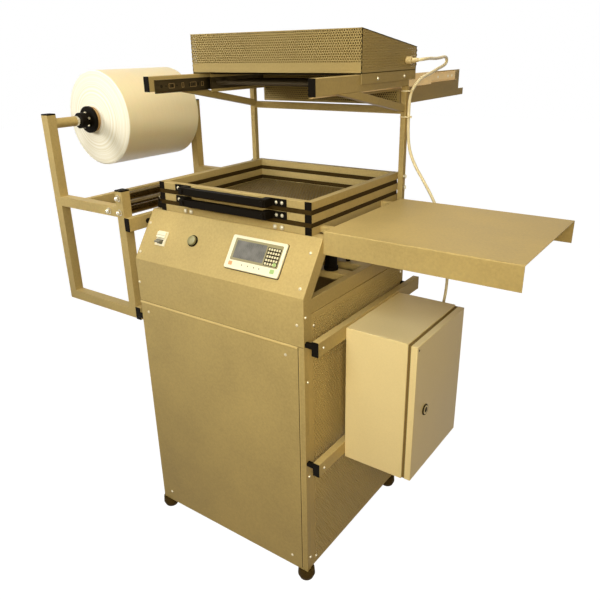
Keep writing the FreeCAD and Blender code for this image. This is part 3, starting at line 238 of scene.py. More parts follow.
def make_finishes(colours):
    """Make the materials, each from what the real surface is."""
    paint = tuple(colours.frame_paint)
    # Fine-texture polyester powder coat: dull, faintly grained. Its grain of 0.3 mm is drawn at 6 mm to show
    grained("powder_coat", paint, grain=6, patch=160, spread=0.13, gloss=(0.42, 0.54), relief=0.15, IOR=1.5,
            Specular_IOR_Level=0.12)
    # The same coat on the small round of a folded edge and on the lip beside the front's joint, painted
    # lighter as a highlight
    grained("powder_coat_on_rounded_fold", shaded(paint, 1.2), grain=6, patch=160, spread=0.08,
            gloss=(0.36, 0.46), relief=0.1, IOR=1.5, Specular_IOR_Level=0.2)
    # The same coat on punched sheet, a little duller for the torn edges of its holes, and painted a little
    # lighter as light to make up for the shade in its holes
    grained("powder_coat_on_punched_sheet", shaded(paint, 1.08), grain=6, patch=120, spread=0.1,
            gloss=(0.46, 0.58), relief=0.12, IOR=1.5, Specular_IOR_Level=0.12)
    # The same coat on the tubes round the heater and on the film frames, painted slightly darker as the
    # shade of the hood over them
    grained("heat_browned_coat_on_tubes", shaded(paint, 0.89), grain=6, patch=160, spread=0.13,
            gloss=(0.42, 0.54), relief=0.15, IOR=1.5, Specular_IOR_Level=0.12)
    # The same punched sheet on the hood and on the guard behind the frames, painted darker as the shade that
    # they lie in
    grained("heat_browned_coat_on_hood", shaded(paint, 0.81), grain=6, patch=120, spread=0.1,
            gloss=(0.46, 0.58), relief=0.12, IOR=1.5, Specular_IOR_Level=0.12)
    # Smooth light powder coat of a bought-in enclosure: finer orange peel and more gloss
    grained("light_enclosure_coat", tuple(colours.box_paint), grain=4, patch=200, spread=0.04,
            gloss=(0.33, 0.42), relief=0.06, IOR=1.5, Specular_IOR_Level=0.12)
    # Moulded black polypropylene and ABS: satin with a spark-eroded grain that scatters the sky's reflection
    grained("moulded_black_plastic", tuple(colours.plastic), grain=1.5, patch=30, spread=0.25,
            gloss=(0.5, 0.65), relief=0.1, IOR=1.49, Specular_IOR_Level=0.06)
    # Cellular rubber strip: matt, open-pored, brown
    grained("foam_rubber_strip", hex_colour("#38290b"), grain=2.5, patch=25, spread=0.3, gloss=(0.8, 0.92),
            relief=0.4, IOR=1.52, Specular_IOR_Level=0.1)
    # Paler foam seal of the electric box, given the colour of the box's paint in shade as the door's gap
    # shows it: painted shade
    grained("box_seal_foam", hex_colour("#80683a"), grain=2.5, patch=25, spread=0.15, gloss=(0.8, 0.92),
            relief=0.3, IOR=1.5, Specular_IOR_Level=0.1)
    # Moulded rubber of the feet and the hose, dusty
    grained("moulded_rubber", hex_colour("#463514"), grain=2, patch=20, spread=0.3, gloss=(0.65, 0.85),
            relief=0.2, IOR=1.52, Specular_IOR_Level=0.1)
    # Bright zinc plate on screws, bolts and hinges
    grained("zinc_plated_steel", hex_colour("#d3c8a8"), grain=2, patch=14, spread=0.12, gloss=(0.26, 0.42),
            relief=0.03, Metallic=1.0)
    # Zinc-plated rolled strip of the drawer slides, painted dark as the shade on the left-hand slide under
    # the hood
    grained("greased_slide_steel", hex_colour("#5a4c2f"), grain=6, patch=40, spread=0.3, gloss=(0.4, 0.6),
            relief=0.05, stretch=(1, 0.1, 1), Metallic=1.0)
    # The same strip painted brighter as the light on the right-hand slide
    grained("zinc_slide_steel", hex_colour("#cfae72"), grain=6, patch=40, spread=0.2, gloss=(0.4, 0.55),
            relief=0.05, stretch=(1, 0.1, 1), Metallic=1.0)
    # Ground bright steel of the shafts, its fine turning marks across the axis
    grained("ground_bright_steel", hex_colour("#d8d0ba"), grain=2, patch=30, spread=0.08, gloss=(0.16, 0.3),
            relief=0.02, stretch=(1, 8, 1), Metallic=1.0)
    # Polished tube of the guide rollers, painted dark as the shade that they lie in between the arms
    grained("polished_roller_steel", hex_colour("#6f5c35"), grain=3, patch=40, spread=0.15,
            gloss=(0.22, 0.34), relief=0.02, stretch=(1, 0.1, 1), Metallic=1.0)
    # Punched mild-steel table plate, lightly tarnished by heat
    grained("tarnished_table_steel", hex_colour("#6b5628"), grain=5, patch=60, spread=0.16,
            gloss=(0.55, 0.7), relief=0.05, Metallic=0.25)
    # Rolled reflector sheet, dull, painted dark as the shade under the hood, its brushing along its length
    grained("heat_dulled_reflector", hex_colour("#3a2f1a"), grain=2, patch=60, spread=0.2,
            gloss=(0.6, 0.75), relief=0.03, stretch=(0.1, 6, 6), Metallic=0.6)
    # Ceramic of the heating tubes and their beads, painted dark as the shade under the hood
    grained("fired_ceramic", hex_colour("#3f3420"), grain=3, patch=25, spread=0.15, gloss=(0.6, 0.75),
            relief=0.05, IOR=1.55, Specular_IOR_Level=0.2)
    # Injection-moulded light ABS of the display case, breaker and glands
    grained("light_abs", hex_colour("#ece2c0"), grain=1.5, patch=40, spread=0.02, gloss=(0.34, 0.44),
            relief=0.04, IOR=1.53)
    # Grey-blue nylon of the breaker's toggle
    grained("toggle_nylon", hex_colour("#6f6b5c"), grain=1.5, patch=10, spread=0.08, gloss=(0.3, 0.42),
            relief=0.05, IOR=1.53)
    # Translucent olive polycarbonate of the button's cap, matt where it is pressed
    grained("button_polycarbonate", hex_colour("#8f8757"), grain=2, patch=14, spread=0.07,
            gloss=(0.38, 0.46), relief=0.03, IOR=1.585)
    # Nylon of the cable glands, yellowed
    grained("gland_nylon", hex_colour("#dbc38b"), grain=1.5, patch=20, spread=0.06, gloss=(0.36, 0.48),
            relief=0.05, IOR=1.53)
    # Soft PVC sheath of the cable and nylon ties
    grained("white_pvc", tuple(colours.cable), grain=2, patch=40, spread=0.03, gloss=(0.32, 0.44),
            relief=0.05, IOR=1.52)
    # Kraft board of the core, its fibres wound round
    grained("kraft_board", hex_colour("#a98654"), grain=2.5, patch=20, spread=0.12, gloss=(0.75, 0.88),
            relief=0.15, stretch=(1, 3, 1), IOR=1.5)
    # Cast-iron pump in hammered enamel
    grained("hammered_enamel", hex_colour("#4c5048"), grain=5, patch=40, spread=0.18, gloss=(0.3, 0.45),
            relief=0.5, IOR=1.5)
    # Woven mineral wool behind the hood's holes, brown from heat
    grained("heat_browned_lining", hex_colour("#75612f"), grain=3, patch=30, spread=0.3, gloss=(0.8, 0.95),
            relief=0.4, IOR=1.45, Specular_IOR_Level=0.2)
    # Printed polyester overlay round the display: olive, silky
    grained("printed_overlay", hex_colour("#8f8458"), grain=1.2, patch=30, spread=0.04, gloss=(0.34, 0.44),
            relief=0.02, IOR=1.57)
    # Keys under the same overlay, cream where they are printed
    grained("overlay_keys", hex_colour("#d8cda4"), grain=1.4, patch=5, spread=0.12, gloss=(0.36, 0.46),
            relief=0.05, IOR=1.57)
    grained("orange_key", hex_colour("#d29a62"), grain=1.2, patch=6, spread=0.06, gloss=(0.36, 0.46),
            relief=0.04, IOR=1.57)
    grained("green_key", hex_colour("#9cba6a"), grain=1.2, patch=6, spread=0.06, gloss=(0.36, 0.46),
            relief=0.04, IOR=1.57)
    # Printed marks, the lock's dark insert, and dark pieces of painted shade in slots, holes and gaps,
    # behind the guard and under the display's edge
    grained("dark_print", hex_colour("#2f2612"), grain=1.2, patch=6, spread=0.1, gloss=(0.6, 0.75),
            relief=0.02, IOR=1.5, Specular_IOR_Level=0.1)
    make_display_glass()
    make_film_finishes(colours)


def make_display_glass():
    """Liquid-crystal window: grey cells in fine rows under a matt hard coat."""
    tree, shader, place = start_material("liquid_crystal_window", Roughness=0.35, IOR=1.52,
                                         Specular_IOR_Level=0.3)
    # The cells are 0.3 mm; they are drawn at 3 mm so that they show
    cells = add_node(tree, "ShaderNodeTexChecker", {"Vector": place, "Scale": 1 / (3 * MM),
                                                    "Color1": hex_colour("#67645c"),
                                                    "Color2": hex_colour("#57544d")})
    cloud = add_node(tree, "ShaderNodeTexNoise", {"Vector": place, "Scale": 1 / (26 * MM), "Detail": 2.0})
    level = add_node(tree, "ShaderNodeMapRange", {"Value": cloud.outputs["Fac"], "From Min": 0.35,
                                                  "From Max": 0.65})
    tone = add_node(tree, "ShaderNodeMix", {0: level.outputs["Result"], 6: cells.outputs["Color"],
                                            7: hex_colour("#75716a")}, data_type="RGBA")
    tree.links.new(tone.outputs[2], shader.inputs["Base Color"])


def make_film_finishes(colours):
    """Wound stretch film: silky round its outside, white with faint winding rings on its ends."""
    grained("wound_film", tuple(colours.film), grain=8, patch=240, spread=0.035, gloss=(0.3, 0.46),
            relief=0.15, stretch=(0.15, 2, 0.15), IOR=1.5, Subsurface_Weight=0.15, Subsurface_Scale=0.02)
    tree, shader, place = start_material("film_roll_end", Roughness=0.55, IOR=1.5)
    low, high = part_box("film_roll")
    centre = (low + high) / 2
    from_axis = add_node(tree, "ShaderNodeVectorMath", {0: place, 1: centre}, operation="SUBTRACT")
    flat = add_node(tree, "ShaderNodeVectorMath", {0: from_axis.outputs["Vector"], 1: (1, 0, 1)},
                    operation="MULTIPLY")
    radius = add_node(tree, "ShaderNodeVectorMath", {0: flat.outputs["Vector"]}, operation="LENGTH")
    # The film is 0.1 mm thick; its windings are drawn every 6 mm so that they show
    rings = add_node(tree, "ShaderNodeTexNoise", {"W": radius.outputs["Value"], "Scale": 1 / (6 * MM),
                                                  "Detail": 4.0, "Roughness": 0.7},
                     noise_dimensions="1D")
    level = add_node(tree, "ShaderNodeMapRange", {"Value": rings.outputs["Fac"], "From Min": 0.35,
                                                  "From Max": 0.65})
    tone = add_node(tree, "ShaderNodeMix", {0: level.outputs["Result"], 6: hex_colour("#e6dcbc"),
                                            7: hex_colour("#f8f3e2")}, data_type="RGBA")
    bump = add_node(tree, "ShaderNodeBump", {"Height": rings.outputs["Fac"], "Distance": 0.2 * MM})
    tree.links.new(tone.outputs[2], shader.inputs["Base Color"])
    tree.links.new(bump.outputs["Normal"], shader.inputs["Normal"])


# Shapes

def add_block(mesh, low, high):
    """Add a block between two corners."""
    low, high = Vector(low), Vector(high)
    size = Matrix.Diagonal((*(high - low), 1))
    bmesh.ops.create_cube(mesh, size=1, matrix=Matrix.Translation((low + high) / 2) @ size)


def add_rod(mesh, start, end, width, end_width=None, sides=24):
    """Add a round bar or cone between two points."""
    start, end = Vector(start), Vector(end)
    turn = (end - start).to_track_quat("Z", "Y").to_matrix().to_4x4()
    tip = width if end_width is None else end_width
    bmesh.ops.create_cone(mesh, cap_ends=True, segments=sides, radius1=width / 2, radius2=tip / 2,
                          depth=(end - start).length, matrix=Matrix.Translation((start + end) / 2) @ turn)


def move(mesh, items, way):
    """Move the corners among some of a mesh's items."""
    corners = [item for item in items if isinstance(item, bmesh.types.BMVert)]
    bmesh.ops.translate(mesh, verts=corners, vec=way)


def thicken(mesh, faces, height):
    """Raise flat faces to a body of some height."""
    grown = bmesh.ops.extrude_face_region(mesh, geom=faces, use_keep_orig=True)["geom"]
    move(mesh, grown, (0, 0, height))


def add_plate(mesh, outline, low, high):
    """Add a flat plate: an outline in X and Y, from one height to another."""
    thicken(mesh, [mesh.faces.new([mesh.verts.new((x, y, low)) for x, y in outline])], high - low)


def round_over(mesh, edges, radius, segments=2):
    """Round edges over."""
    bmesh.ops.bevel(mesh, geom=edges, offset=radius, offset_type="OFFSET", segments=segments, profile=0.5,
                    affect="EDGES", clamp_overlap=True, material=-1)


def breadth(face, edge):
    """Give a face's extent across an edge."""
    if len(face.verts) <= 4:
        return face.calc_area() / edge.calc_length()
    return 2 * face.calc_area() / sum(side.calc_length() for side in face.edges)


def outer_edges(mesh, room):
    """Give the sharp outside edges whose two faces have room for a rounding."""
    return [edge for edge in mesh.edges
            if edge.is_manifold and edge.is_convex and edge.calc_face_angle() > FOLDED
            and min(breadth(face, edge) for face in edge.link_faces) > room]


def finish(mesh, name, material, node, place=SET, second=None, replaces=False):
    """Turn the mesh to a piece that rides with a CAD node, and stand it for the node if asked."""
    bmesh.ops.transform(mesh, matrix=place, verts=mesh.verts)
    for edge in mesh.edges:
        edge.smooth = edge.is_manifold and edge.calc_face_angle() < SHARP
    for face in mesh.faces:
        face.smooth = True
    data = bpy.data.meshes.new(name)
    mesh.to_mesh(data)
    mesh.free()
    data.materials.append(FINISHES[material])
    if second:
        data.materials.append(FINISHES[second])
    piece = bpy.data.objects.new(name, data)
    bpy.context.scene.collection.objects.link(piece)
    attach(piece, frame["nodes"][node]["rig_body"])
    if replaces:
        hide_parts(node)


def merged_copy(node):
    """Give a copy of a CAD node's mesh with its corners merged and its flat faces whole."""
    mesh = bmesh.new()
    mesh.from_mesh(frame["nodes"][node].data)
    bmesh.ops.remove_doubles(mesh, verts=mesh.verts, dist=MERGE)
    bmesh.ops.dissolve_limit(mesh, angle_limit=FLAT, verts=mesh.verts, edges=mesh.edges,
                             delimit={"NORMAL"})
    return mesh


def soften(node, material, radius, fine=0.0, second=None, end_of=None):
    """Stand a copy of a CAD node in its place, with its broad edges and its fine edges rounded."""
    mesh = merged_copy(node)
    if radius:
        round_over(mesh, outer_edges(mesh, BROAD_ROOM * radius), radius)
    if fine:
        round_over(mesh, outer_edges(mesh, FINE_ROOM * fine), fine, 1)
    if end_of is not None:
        for face in mesh.faces:
            face.material_index = int(end_of(face))
    finish(mesh, node + "_finished", material, node, Matrix(), second, replaces=True)


def punched_sheet(width, height, pitch, hole, thickness, cuts=()):
    """Make a sheet of six-sided cells, each round its hole, from the origin along X and Y."""
    sheet = bmesh.new()
    bmesh.ops.create_circle(sheet, cap_ends=True, radius=pitch / math.sqrt(3), segments=6)
    inner = sheet.faces[:]
    bmesh.ops.inset_individual(sheet, faces=inner, thickness=(pitch - hole) / 2)
    bmesh.ops.delete(sheet, geom=inner, context="FACES_ONLY")
    rise = pitch * math.sqrt(3) / 2
    columns, rows = int(width / pitch), int(height / rise)
    for count, step in ((columns, (pitch, 0)), (rows, (pitch / 2, rise))):
        cells = sheet.verts[:] + sheet.edges[:] + sheet.faces[:]
        for number in range(1, count):
            copy = bmesh.ops.duplicate(sheet, geom=cells)["geom"]
            across = step[0] * (number if step[1] == 0 else number % 2)
            move(sheet, copy, (across, step[1] * number, 0))
    bmesh.ops.remove_doubles(sheet, verts=sheet.verts, dist=pitch * 0.01)
    spare = Vector((width - columns * pitch, height - rows * rise, 0)) / 2
    move(sheet, sheet.verts, spare + Vector((pitch / 4, rise / 2, 0)))
    for point, outward in cuts:
        bmesh.ops.bisect_plane(sheet, geom=sheet.verts[:] + sheet.edges[:] + sheet.faces[:],
                               plane_co=point, plane_no=outward, clear_outer=True)
    thicken(sheet, sheet.faces[:], thickness)
    bmesh.ops.recalc_face_normals(sheet, faces=sheet.faces)
    return sheet


def lay(mesh, part, place):
    """Add one mesh to another, turned to its place."""
    bmesh.ops.transform(part, matrix=place, verts=part.verts)
    data = bpy.data.meshes.new("part")
    part.to_mesh(data)
    part.free()
    mesh.from_mesh(data)
    bpy.data.meshes.remove(data)


def facing(corner, across, up):
    """Give the matrix that lays a flat part at a corner, its X and Y along two directions."""
    across, up = Vector(across).normalized(), Vector(up).normalized()
    turn = Matrix((across, up, across.cross(up))).transposed().to_4x4()
    return Matrix.Translation(Vector(corner)) @ turn


def bordered_sheet(mesh, place, width, height, pitch, hole, borders, thickness=2, proud=0.15, cuts=()):
    """Lay a punched sheet with plain borders, given left, right, low and high, where a place says.

    The borders stand proud of the punched part on both faces.
    """
    left, right, low, high = borders
    sheet = punched_sheet(width - left - right + pitch, height - low - high + pitch, pitch, hole,
                          thickness - 2 * proud, cuts)
    move(sheet, sheet.verts, (left - pitch / 2, low - pitch / 2, proud))
    lay(mesh, sheet, place)
    strips = bmesh.new()
    for x0, x1, y0, y1 in ((0, left, 0, height), (width - right, width, 0, height),
                           (left, width - right, 0, low), (left, width - right, height - high, height)):
        if x1 > x0 and y1 > y0:
            add_block(strips, (x0, y0, 0), (x1, y1, thickness))
    lay(mesh, strips, place)


def add_screw(mesh, place, outward, width):
    """Add a domed screw head on its washer to a face."""
    place, outward = Vector(place), Vector(outward).normalized()
    # Washer, side and crown of the head: where each starts and ends and its widths there, as shares
    for start, end, wide, narrow in ((0, 0.12, 1.15, 1.15), (0.12, 0.32, 1, 0.8), (0.32, 0.42, 0.8, 0.45)):
        add_rod(mesh, place + outward * width * start, place + outward * width * end, width * wide,
                width * narrow, 16)


# Pieces

class MachineOperator:
    """What the operators share: their settings and the rounding of CAD nodes."""
    bl_options = {"REGISTER"}

    @property
    def sizes(self):
        """Give the size settings."""
        return bpy.context.scene.machine_sizes

    def size(self, name):
        """Give a size in millimetres."""
        return getattr(self.sizes, name) / MM

    def soften_nodes(self, rows):
        """Soften CAD nodes in turn.

        A row holds the node, its finish, the radius of its broad edges in millimetres and that of its fine
        edges as a share of the fine edge's size.
        """
        for node, material, radius, share in rows:
            soften(node, material, radius * MM, self.sizes.edge_radius * share)


class MACHINE_OT_stage(MachineOperator, bpy.types.Operator):
    """Camera at the machine's front right, soft lamps, pale floor and white surroundings"""
    bl_idname = "machine.stage"
    bl_label = "Stage"

    # The camera's place in metres and its turn in degrees
    CAMERA_PLACE, CAMERA_TURN = (1.106, -1.6405, 1.452), (67.876, 1.019, 35.264)
    # Each lamp's name, colour, width in metres, spread in degrees, place and aim
    LAMPS = (("key", "#e3f0ff", 0.9, 80, (0.25, -1.9, 2.3), (0.0, -0.5, 0.8)),
             ("fill", "#fff5d6", 0.8, 120, (1.35, -1.95, 1.6), (0.1, -0.2, 0.75)),
             ("top", "#fff4dc", 1.2, 180, (0.2, -0.4, 2.9), (0.2, -0.4, 0.0)),
             ("side", "#ffffff", 0.7, 50, (-1.5, -1.9, 1.9), (-0.68, -0.25, 1.25)))
    # How bright the floor is lifted where it is seen, the share of that against its shaded colour, and half
    # its width in metres
    FLOOR_LIFT, FLOOR_SHARE, FLOOR_SIZE = 1.13, 0.88, 12

    def execute(self, context):
        scene = context.scene
        stage = scene.machine_stage
        camera = bpy.data.objects.new("camera", bpy.data.cameras.new("camera"))
        camera.location = self.CAMERA_PLACE
        camera.rotation_euler = [math.radians(angle) for angle in self.CAMERA_TURN]
        camera.data.sensor_width = 36
        camera.data.lens = stage.lens
        camera.data.clip_start = 0.05
        scene.collection.objects.link(camera)
        scene.camera = camera
        for name, tint, size, spread, place, aim in self.LAMPS:
            lamp = bpy.data.objects.new(name, bpy.data.lights.new(name, "AREA"))
            lamp.data.energy = getattr(stage, name)
            lamp.data.color = hex_colour(tint)[:3]
            lamp.data.size = size
            lamp.data.spread = math.radians(spread)
            lamp.location = place
            way = Vector(aim) - Vector(place)
            lamp.rotation_euler = way.to_track_quat("-Z", "Y").to_euler()
            scene.collection.objects.link(lamp)
        self.make_world(scene, stage)
        self.make_floor(scene)
        scene.view_settings.view_transform = "Standard"
        return {"FINISHED"}

    def seen_rays(self, tree):
        """Give 1 for rays from the camera, mirrors and glass."""
        path = add_node(tree, "ShaderNodeLightPath")
        first = add_node(tree, "ShaderNodeMath", {0: path.outputs["Is Camera Ray"],
                                                  1: path.outputs["Is Glossy Ray"]}, operation="MAXIMUM")
        return add_node(tree, "ShaderNodeMath", {0: first.outputs["Value"],
                                                 1: path.outputs["Is Transmission Ray"]},
                        operation="MAXIMUM").outputs["Value"]

    def make_world(self, scene, stage):
        """Warm dim room light, with plain white where the camera, metal and glass see past the machine."""
        world = bpy.data.worlds.new("white_surroundings")
        world.use_nodes = True
        tree = world.node_tree
        tree.nodes.clear()
        room = add_node(tree, "ShaderNodeBackground", {"Color": hex_colour("#ffdf9f"),
                                                       "Strength": stage.room})
        shown = add_node(tree, "ShaderNodeBackground", {"Color": hex_colour("#ffffff"), "Strength": 1.0})
        mixed = add_node(tree, "ShaderNodeMixShader", {0: self.seen_rays(tree), 1: room.outputs[0],
                                                       2: shown.outputs[0]})
        add_node(tree, "ShaderNodeOutputWorld", {"Surface": mixed.outputs[0]})
        scene.world = world

    def make_floor(self, scene):
        """Pale matt floor: it keeps the machine's shadow, lifted to white where the camera sees it."""
        tree, shader, place = start_material("pale_floor", Roughness=0.9)
        grain = add_node(tree, "ShaderNodeTexNoise", {"Vector": place, "Scale": 40.0})
        tone = add_node(tree, "ShaderNodeMix", {0: grain.outputs["Fac"], 6: hex_colour("#f6f6f4"),
                                                7: hex_colour("#ffffff")}, data_type="RGBA")
        # What the floor throws back on the machine is dim and warm, as from a workshop's floor
        seen = self.seen_rays(tree)
        thrown = add_node(tree, "ShaderNodeMix", {0: seen, 6: hex_colour("#705a2c"), 7: tone.outputs[2]},
                          data_type="RGBA")
        tree.links.new(thrown.outputs[2], shader.inputs["Base Color"])
        lifted = add_node(tree, "ShaderNodeEmission", {"Color": hex_colour("#ffffff"),
                                                       "Strength": self.FLOOR_LIFT})
        share = add_node(tree, "ShaderNodeMath", {0: seen, 1: self.FLOOR_SHARE}, operation="MULTIPLY")
        mixed = add_node(tree, "ShaderNodeMixShader", {0: share.outputs["Value"], 1: shader.outputs["BSDF"],
                                                       2: lifted.outputs["Emission"]})
        output = next(item for item in tree.nodes if item.bl_idname == "ShaderNodeOutputMaterial")
        tree.links.new(mixed.outputs["Shader"], output.inputs["Surface"])
        mesh = bmesh.new()
        bmesh.ops.create_grid(mesh, x_segments=4, y_segments=4, size=self.FLOOR_SIZE)
        data = bpy.data.meshes.new("floor")
        mesh.to_mesh(data)
        mesh.free()
        data.materials.append(FINISHES["pale_floor"])
        floor = bpy.data.objects.new("floor", data)
        scene.collection.objects.link(floor)


class MACHINE_OT_heater_cable(MachineOperator, bpy.types.Operator):
    """Cable from the hood's gland round behind the hood and down the stand post to the electric box"""
    bl_idname = "machine.heater_cable"
    bl_label = "Heater cable"

    # From the hood's gland round behind the hood, down the post and across to the gland of the electric box
    ROUTE = [(302.9, 260, 1421), (322, 263, 1422), (332, 283, 1424), (327, 322, 1425), (319, 372, 1423),
             (314, 420, 1424), (311, 458, 1427), (309, 482, 1423), (308, 484, 1409), (307, 464, 1401),
             (306, 425, 1394), (306, 380, 1384), (305, 330, 1376), (303, 300, 1364), (296, 284, 1346),
             (290.5, 279, 1318), (290, 279, 1270), (291, 280, 1220), (296, 282, 1178), (312, 288, 1135),
             (338, 298, 1090), (366, 308, 1040), (391, 314, 985), (411, 315, 926), (426, 309, 866),
             (436, 297, 807), (441, 277, 752), (442, 247, 702), (441, 214, 668), (440, 190, 651),
             (440, 172.4, 650)]
    # A point on the fixed run on the post and one on the run that moves with the hood
    STILL, MOVING = (306, 330, 1366), (306, 330, 1414)
    # Heights of the ties, the block that each draws round the post and the side of its head
    TIES, TIE_LOW, TIE_HIGH, HEAD_X = (1268, 1338), (267.5, 268.5), (296.5, 287.5), 300.5

    def execute(self, context):
        line = bpy.data.curves.new("heater_cable_line", "CURVE")
        line.dimensions = "3D"
        line.resolution_u = 10
        spline = line.splines.new("NURBS")
        spline.points.add(len(self.ROUTE) - 1)
        for point, spot in zip(spline.points, self.ROUTE):
            point.co = (*(SET @ Vector(spot)), 1)
        spline.order_u = 3
        spline.use_endpoint_u = True
        drawn = bpy.data.objects.new("heater_cable_line", line)
        context.scene.collection.objects.link(drawn)
        path = self.mesh_of(drawn, context)
        line.bevel_depth = self.sizes.cable / 2
        line.bevel_resolution = 3
        line.use_fill_caps = True
        sheath = self.mesh_of(drawn, context)
        bpy.data.objects.remove(drawn)
        mesh = bmesh.new()
        mesh.from_mesh(sheath)
        bmesh.ops.remove_doubles(mesh, verts=mesh.verts, dist=MERGE)
        bmesh.ops.recalc_face_normals(mesh, faces=mesh.faces)
        data = bpy.data.meshes.new("heater_cable_sheath")
        for face in mesh.faces:
            face.smooth = True
        mesh.to_mesh(data)
        mesh.free()
        data.materials.append(FINISHES["white_pvc"])
        cable = bpy.data.objects.new("heater_cable_sheath", data)
        context.scene.collection.objects.link(cable)
        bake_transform(cable)
        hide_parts("heater_cable")
        self.make_ties()
        return {"FINISHED"}

    def mesh_of(self, drawn, context):
        """Give the mesh that the curve makes."""
        context.view_layer.update()
        return bpy.data.meshes.new_from_object(drawn.evaluated_get(context.evaluated_depsgraph_get()))

    def make_ties(self):
        """Nylon ties that hold the cable to the stand post."""
        mesh = bmesh.new()
        for height in self.TIES:
            add_block(mesh, (*self.TIE_LOW, height), (*self.TIE_HIGH, height + 4))
            add_block(mesh, (self.TIE_HIGH[0], 274, height - 1), (self.HEAD_X, 280, height + 5))
        round_over(mesh, outer_edges(mesh, 2), 0.8)
        finish(mesh, "cable_ties", "white_pvc", "heater_cable")


class MACHINE_OT_painted_tubes(MachineOperator, bpy.types.Operator):
    """Painted tube work: cabinet frame, film frames, heater stand, rails and roll stand"""
    bl_idname = "machine.painted_tubes"
    bl_label = "Painted tubes"

    NODES = ("cabinet_posts", "cabinet_rails", "left_mount_rails", "right_mount_rails", "roll_arm_front",
             "roll_arm_rear", "roll_tie_rail", "side_table_brackets")
    # Tubes under the hood, their coat painted darker as their shade
    IN_PAINTED_SHADE = ("base_film_frame", "middle_film_frame", "upper_film_frame", "heater_stand",
                   "heater_beams")

    def execute(self, context):
        for node in self.NODES:
            soften(node, "powder_coat", self.sizes.tube_radius)
        for node in self.IN_PAINTED_SHADE:
            soften(node, "heat_browned_coat_on_tubes", self.sizes.tube_radius)
        return {"FINISHED"}


class MACHINE_OT_folded_sheets(MachineOperator, bpy.types.Operator):
    """Folded painted sheets: console, front panels, floor, side table, box below the table and tray"""
    bl_idname = "machine.folded_sheets"
    bl_label = "Folded sheets"

    # Each sheet and the share of the fold's radius at its bends
    SHEETS = (("console_cover", 1), ("front_panels", 0.7), ("cabinet_floor", 0), ("side_table", 1),
              ("vacuum_box", 0.5), ("carriage_tray", 0.5))
    # The front panel's left edge, its joint with the strip beside it, its foot and the seam above it
    LEFT, JOINT_X, FOOT_Z, SEAM_Z = 1 - HALF_W, 281, 42, 765
    # Rounded top edge of the front panel: how far it stands out, where it is fullest and where it ends
    EDGE_OUT, EDGE_FULL_Z, EDGE_LOW_Z = 2.6, 759, 757.5
    # Strips on the front, a lip painted lighter as a highlight and two dark strips of painted shade in the
    # gaps: left, foot, right and head, how far each stands out, and how far all of them reach in
    LIP = (JOINT_X + 2.4, FOOT_Z, JOINT_X + 4.4, 755, 0.6)
    GAPS = ((LEFT, SEAM_Z, -LEFT, SEAM_Z + 0.5, 0.3), (JOINT_X, FOOT_Z, JOINT_X + 1.8, 762, 0.35))
    SUNK = 0.5

    def execute(self, context):
        for node, share in self.SHEETS:
            soften(node, "powder_coat", self.sizes.fold_radius * share, self.sizes.edge_radius)
        edge = bmesh.new()
        add_plate(edge, [(-HALF_D, self.EDGE_LOW_Z), (-HALF_D - self.EDGE_OUT, self.EDGE_FULL_Z),
                         (-HALF_D, self.SEAM_Z)], 0, self.JOINT_X - self.LEFT)
        mesh = bmesh.new()
        lay(mesh, edge, facing((self.LEFT, 0, 0), (0, 1, 0), (0, 0, 1)))
        self.add_strip(mesh, *self.LIP)
        bmesh.ops.recalc_face_normals(mesh, faces=mesh.faces)
        finish(mesh, "front_panel_fold", "powder_coat_on_rounded_fold", "front_panels")
        mesh = bmesh.new()
        for gap in self.GAPS:
            self.add_strip(mesh, *gap)
        finish(mesh, "front_panel_gaps", "dark_print", "front_panels")
        return {"FINISHED"}

    def add_strip(self, mesh, left, foot, right, head, out):
        """Add a strip on the cabinet's front."""
        add_block(mesh, (left, -HALF_D - out, foot), (right, self.SUNK - HALF_D, head))


class MACHINE_OT_cabinet_panels(MachineOperator, bpy.types.Operator):
    """Punched side panels with plain borders, and the rear panel"""
    bl_idname = "machine.cabinet_panels"
    bl_label = "Cabinet panels"

    (LEFT, FRONT, FOOT), (RIGHT, REAR, HEAD) = extent("cabinet_panels")
    STEP = extent("front_panels")[1].z
    # Thickness of the sheets, height of the rail above the side panels, and the console's side flange
    SHEET, RAIL, FLANGE_Y = 2, 40, -235
    # Plain borders of a side panel at its front, rear, foot and head
    BORDERS = (5, 9, 12, 14)

    def execute(self, context):
        rear, head = self.REAR - self.SHEET, self.HEAD - self.RAIL
        for name, x in (("side_panel_left", self.LEFT), ("side_panel_right", self.RIGHT - self.SHEET)):
            mesh = bmesh.new()
            bordered_sheet(mesh, facing((x, self.FLANGE_Y, self.FOOT), (0, 1, 0), (0, 0, 1)),
                           rear - self.FLANGE_Y, head - self.FOOT, self.size("panel_pitch"),
                           self.size("panel_hole"), self.BORDERS)
            add_block(mesh, (x, self.FRONT, self.FOOT), (x + self.SHEET, self.FLANGE_Y, self.STEP))
            finish(mesh, name, "powder_coat_on_punched_sheet", "cabinet_panels", replaces=x > 0)
        mesh = bmesh.new()
        add_block(mesh, (self.LEFT, rear, self.FOOT), (self.RIGHT, self.REAR, self.HEAD))
        round_over(mesh, outer_edges(mesh, 1), self.size("edge_radius"))
        finish(mesh, "rear_panel", "powder_coat", "cabinet_panels")
        return {"FINISHED"}


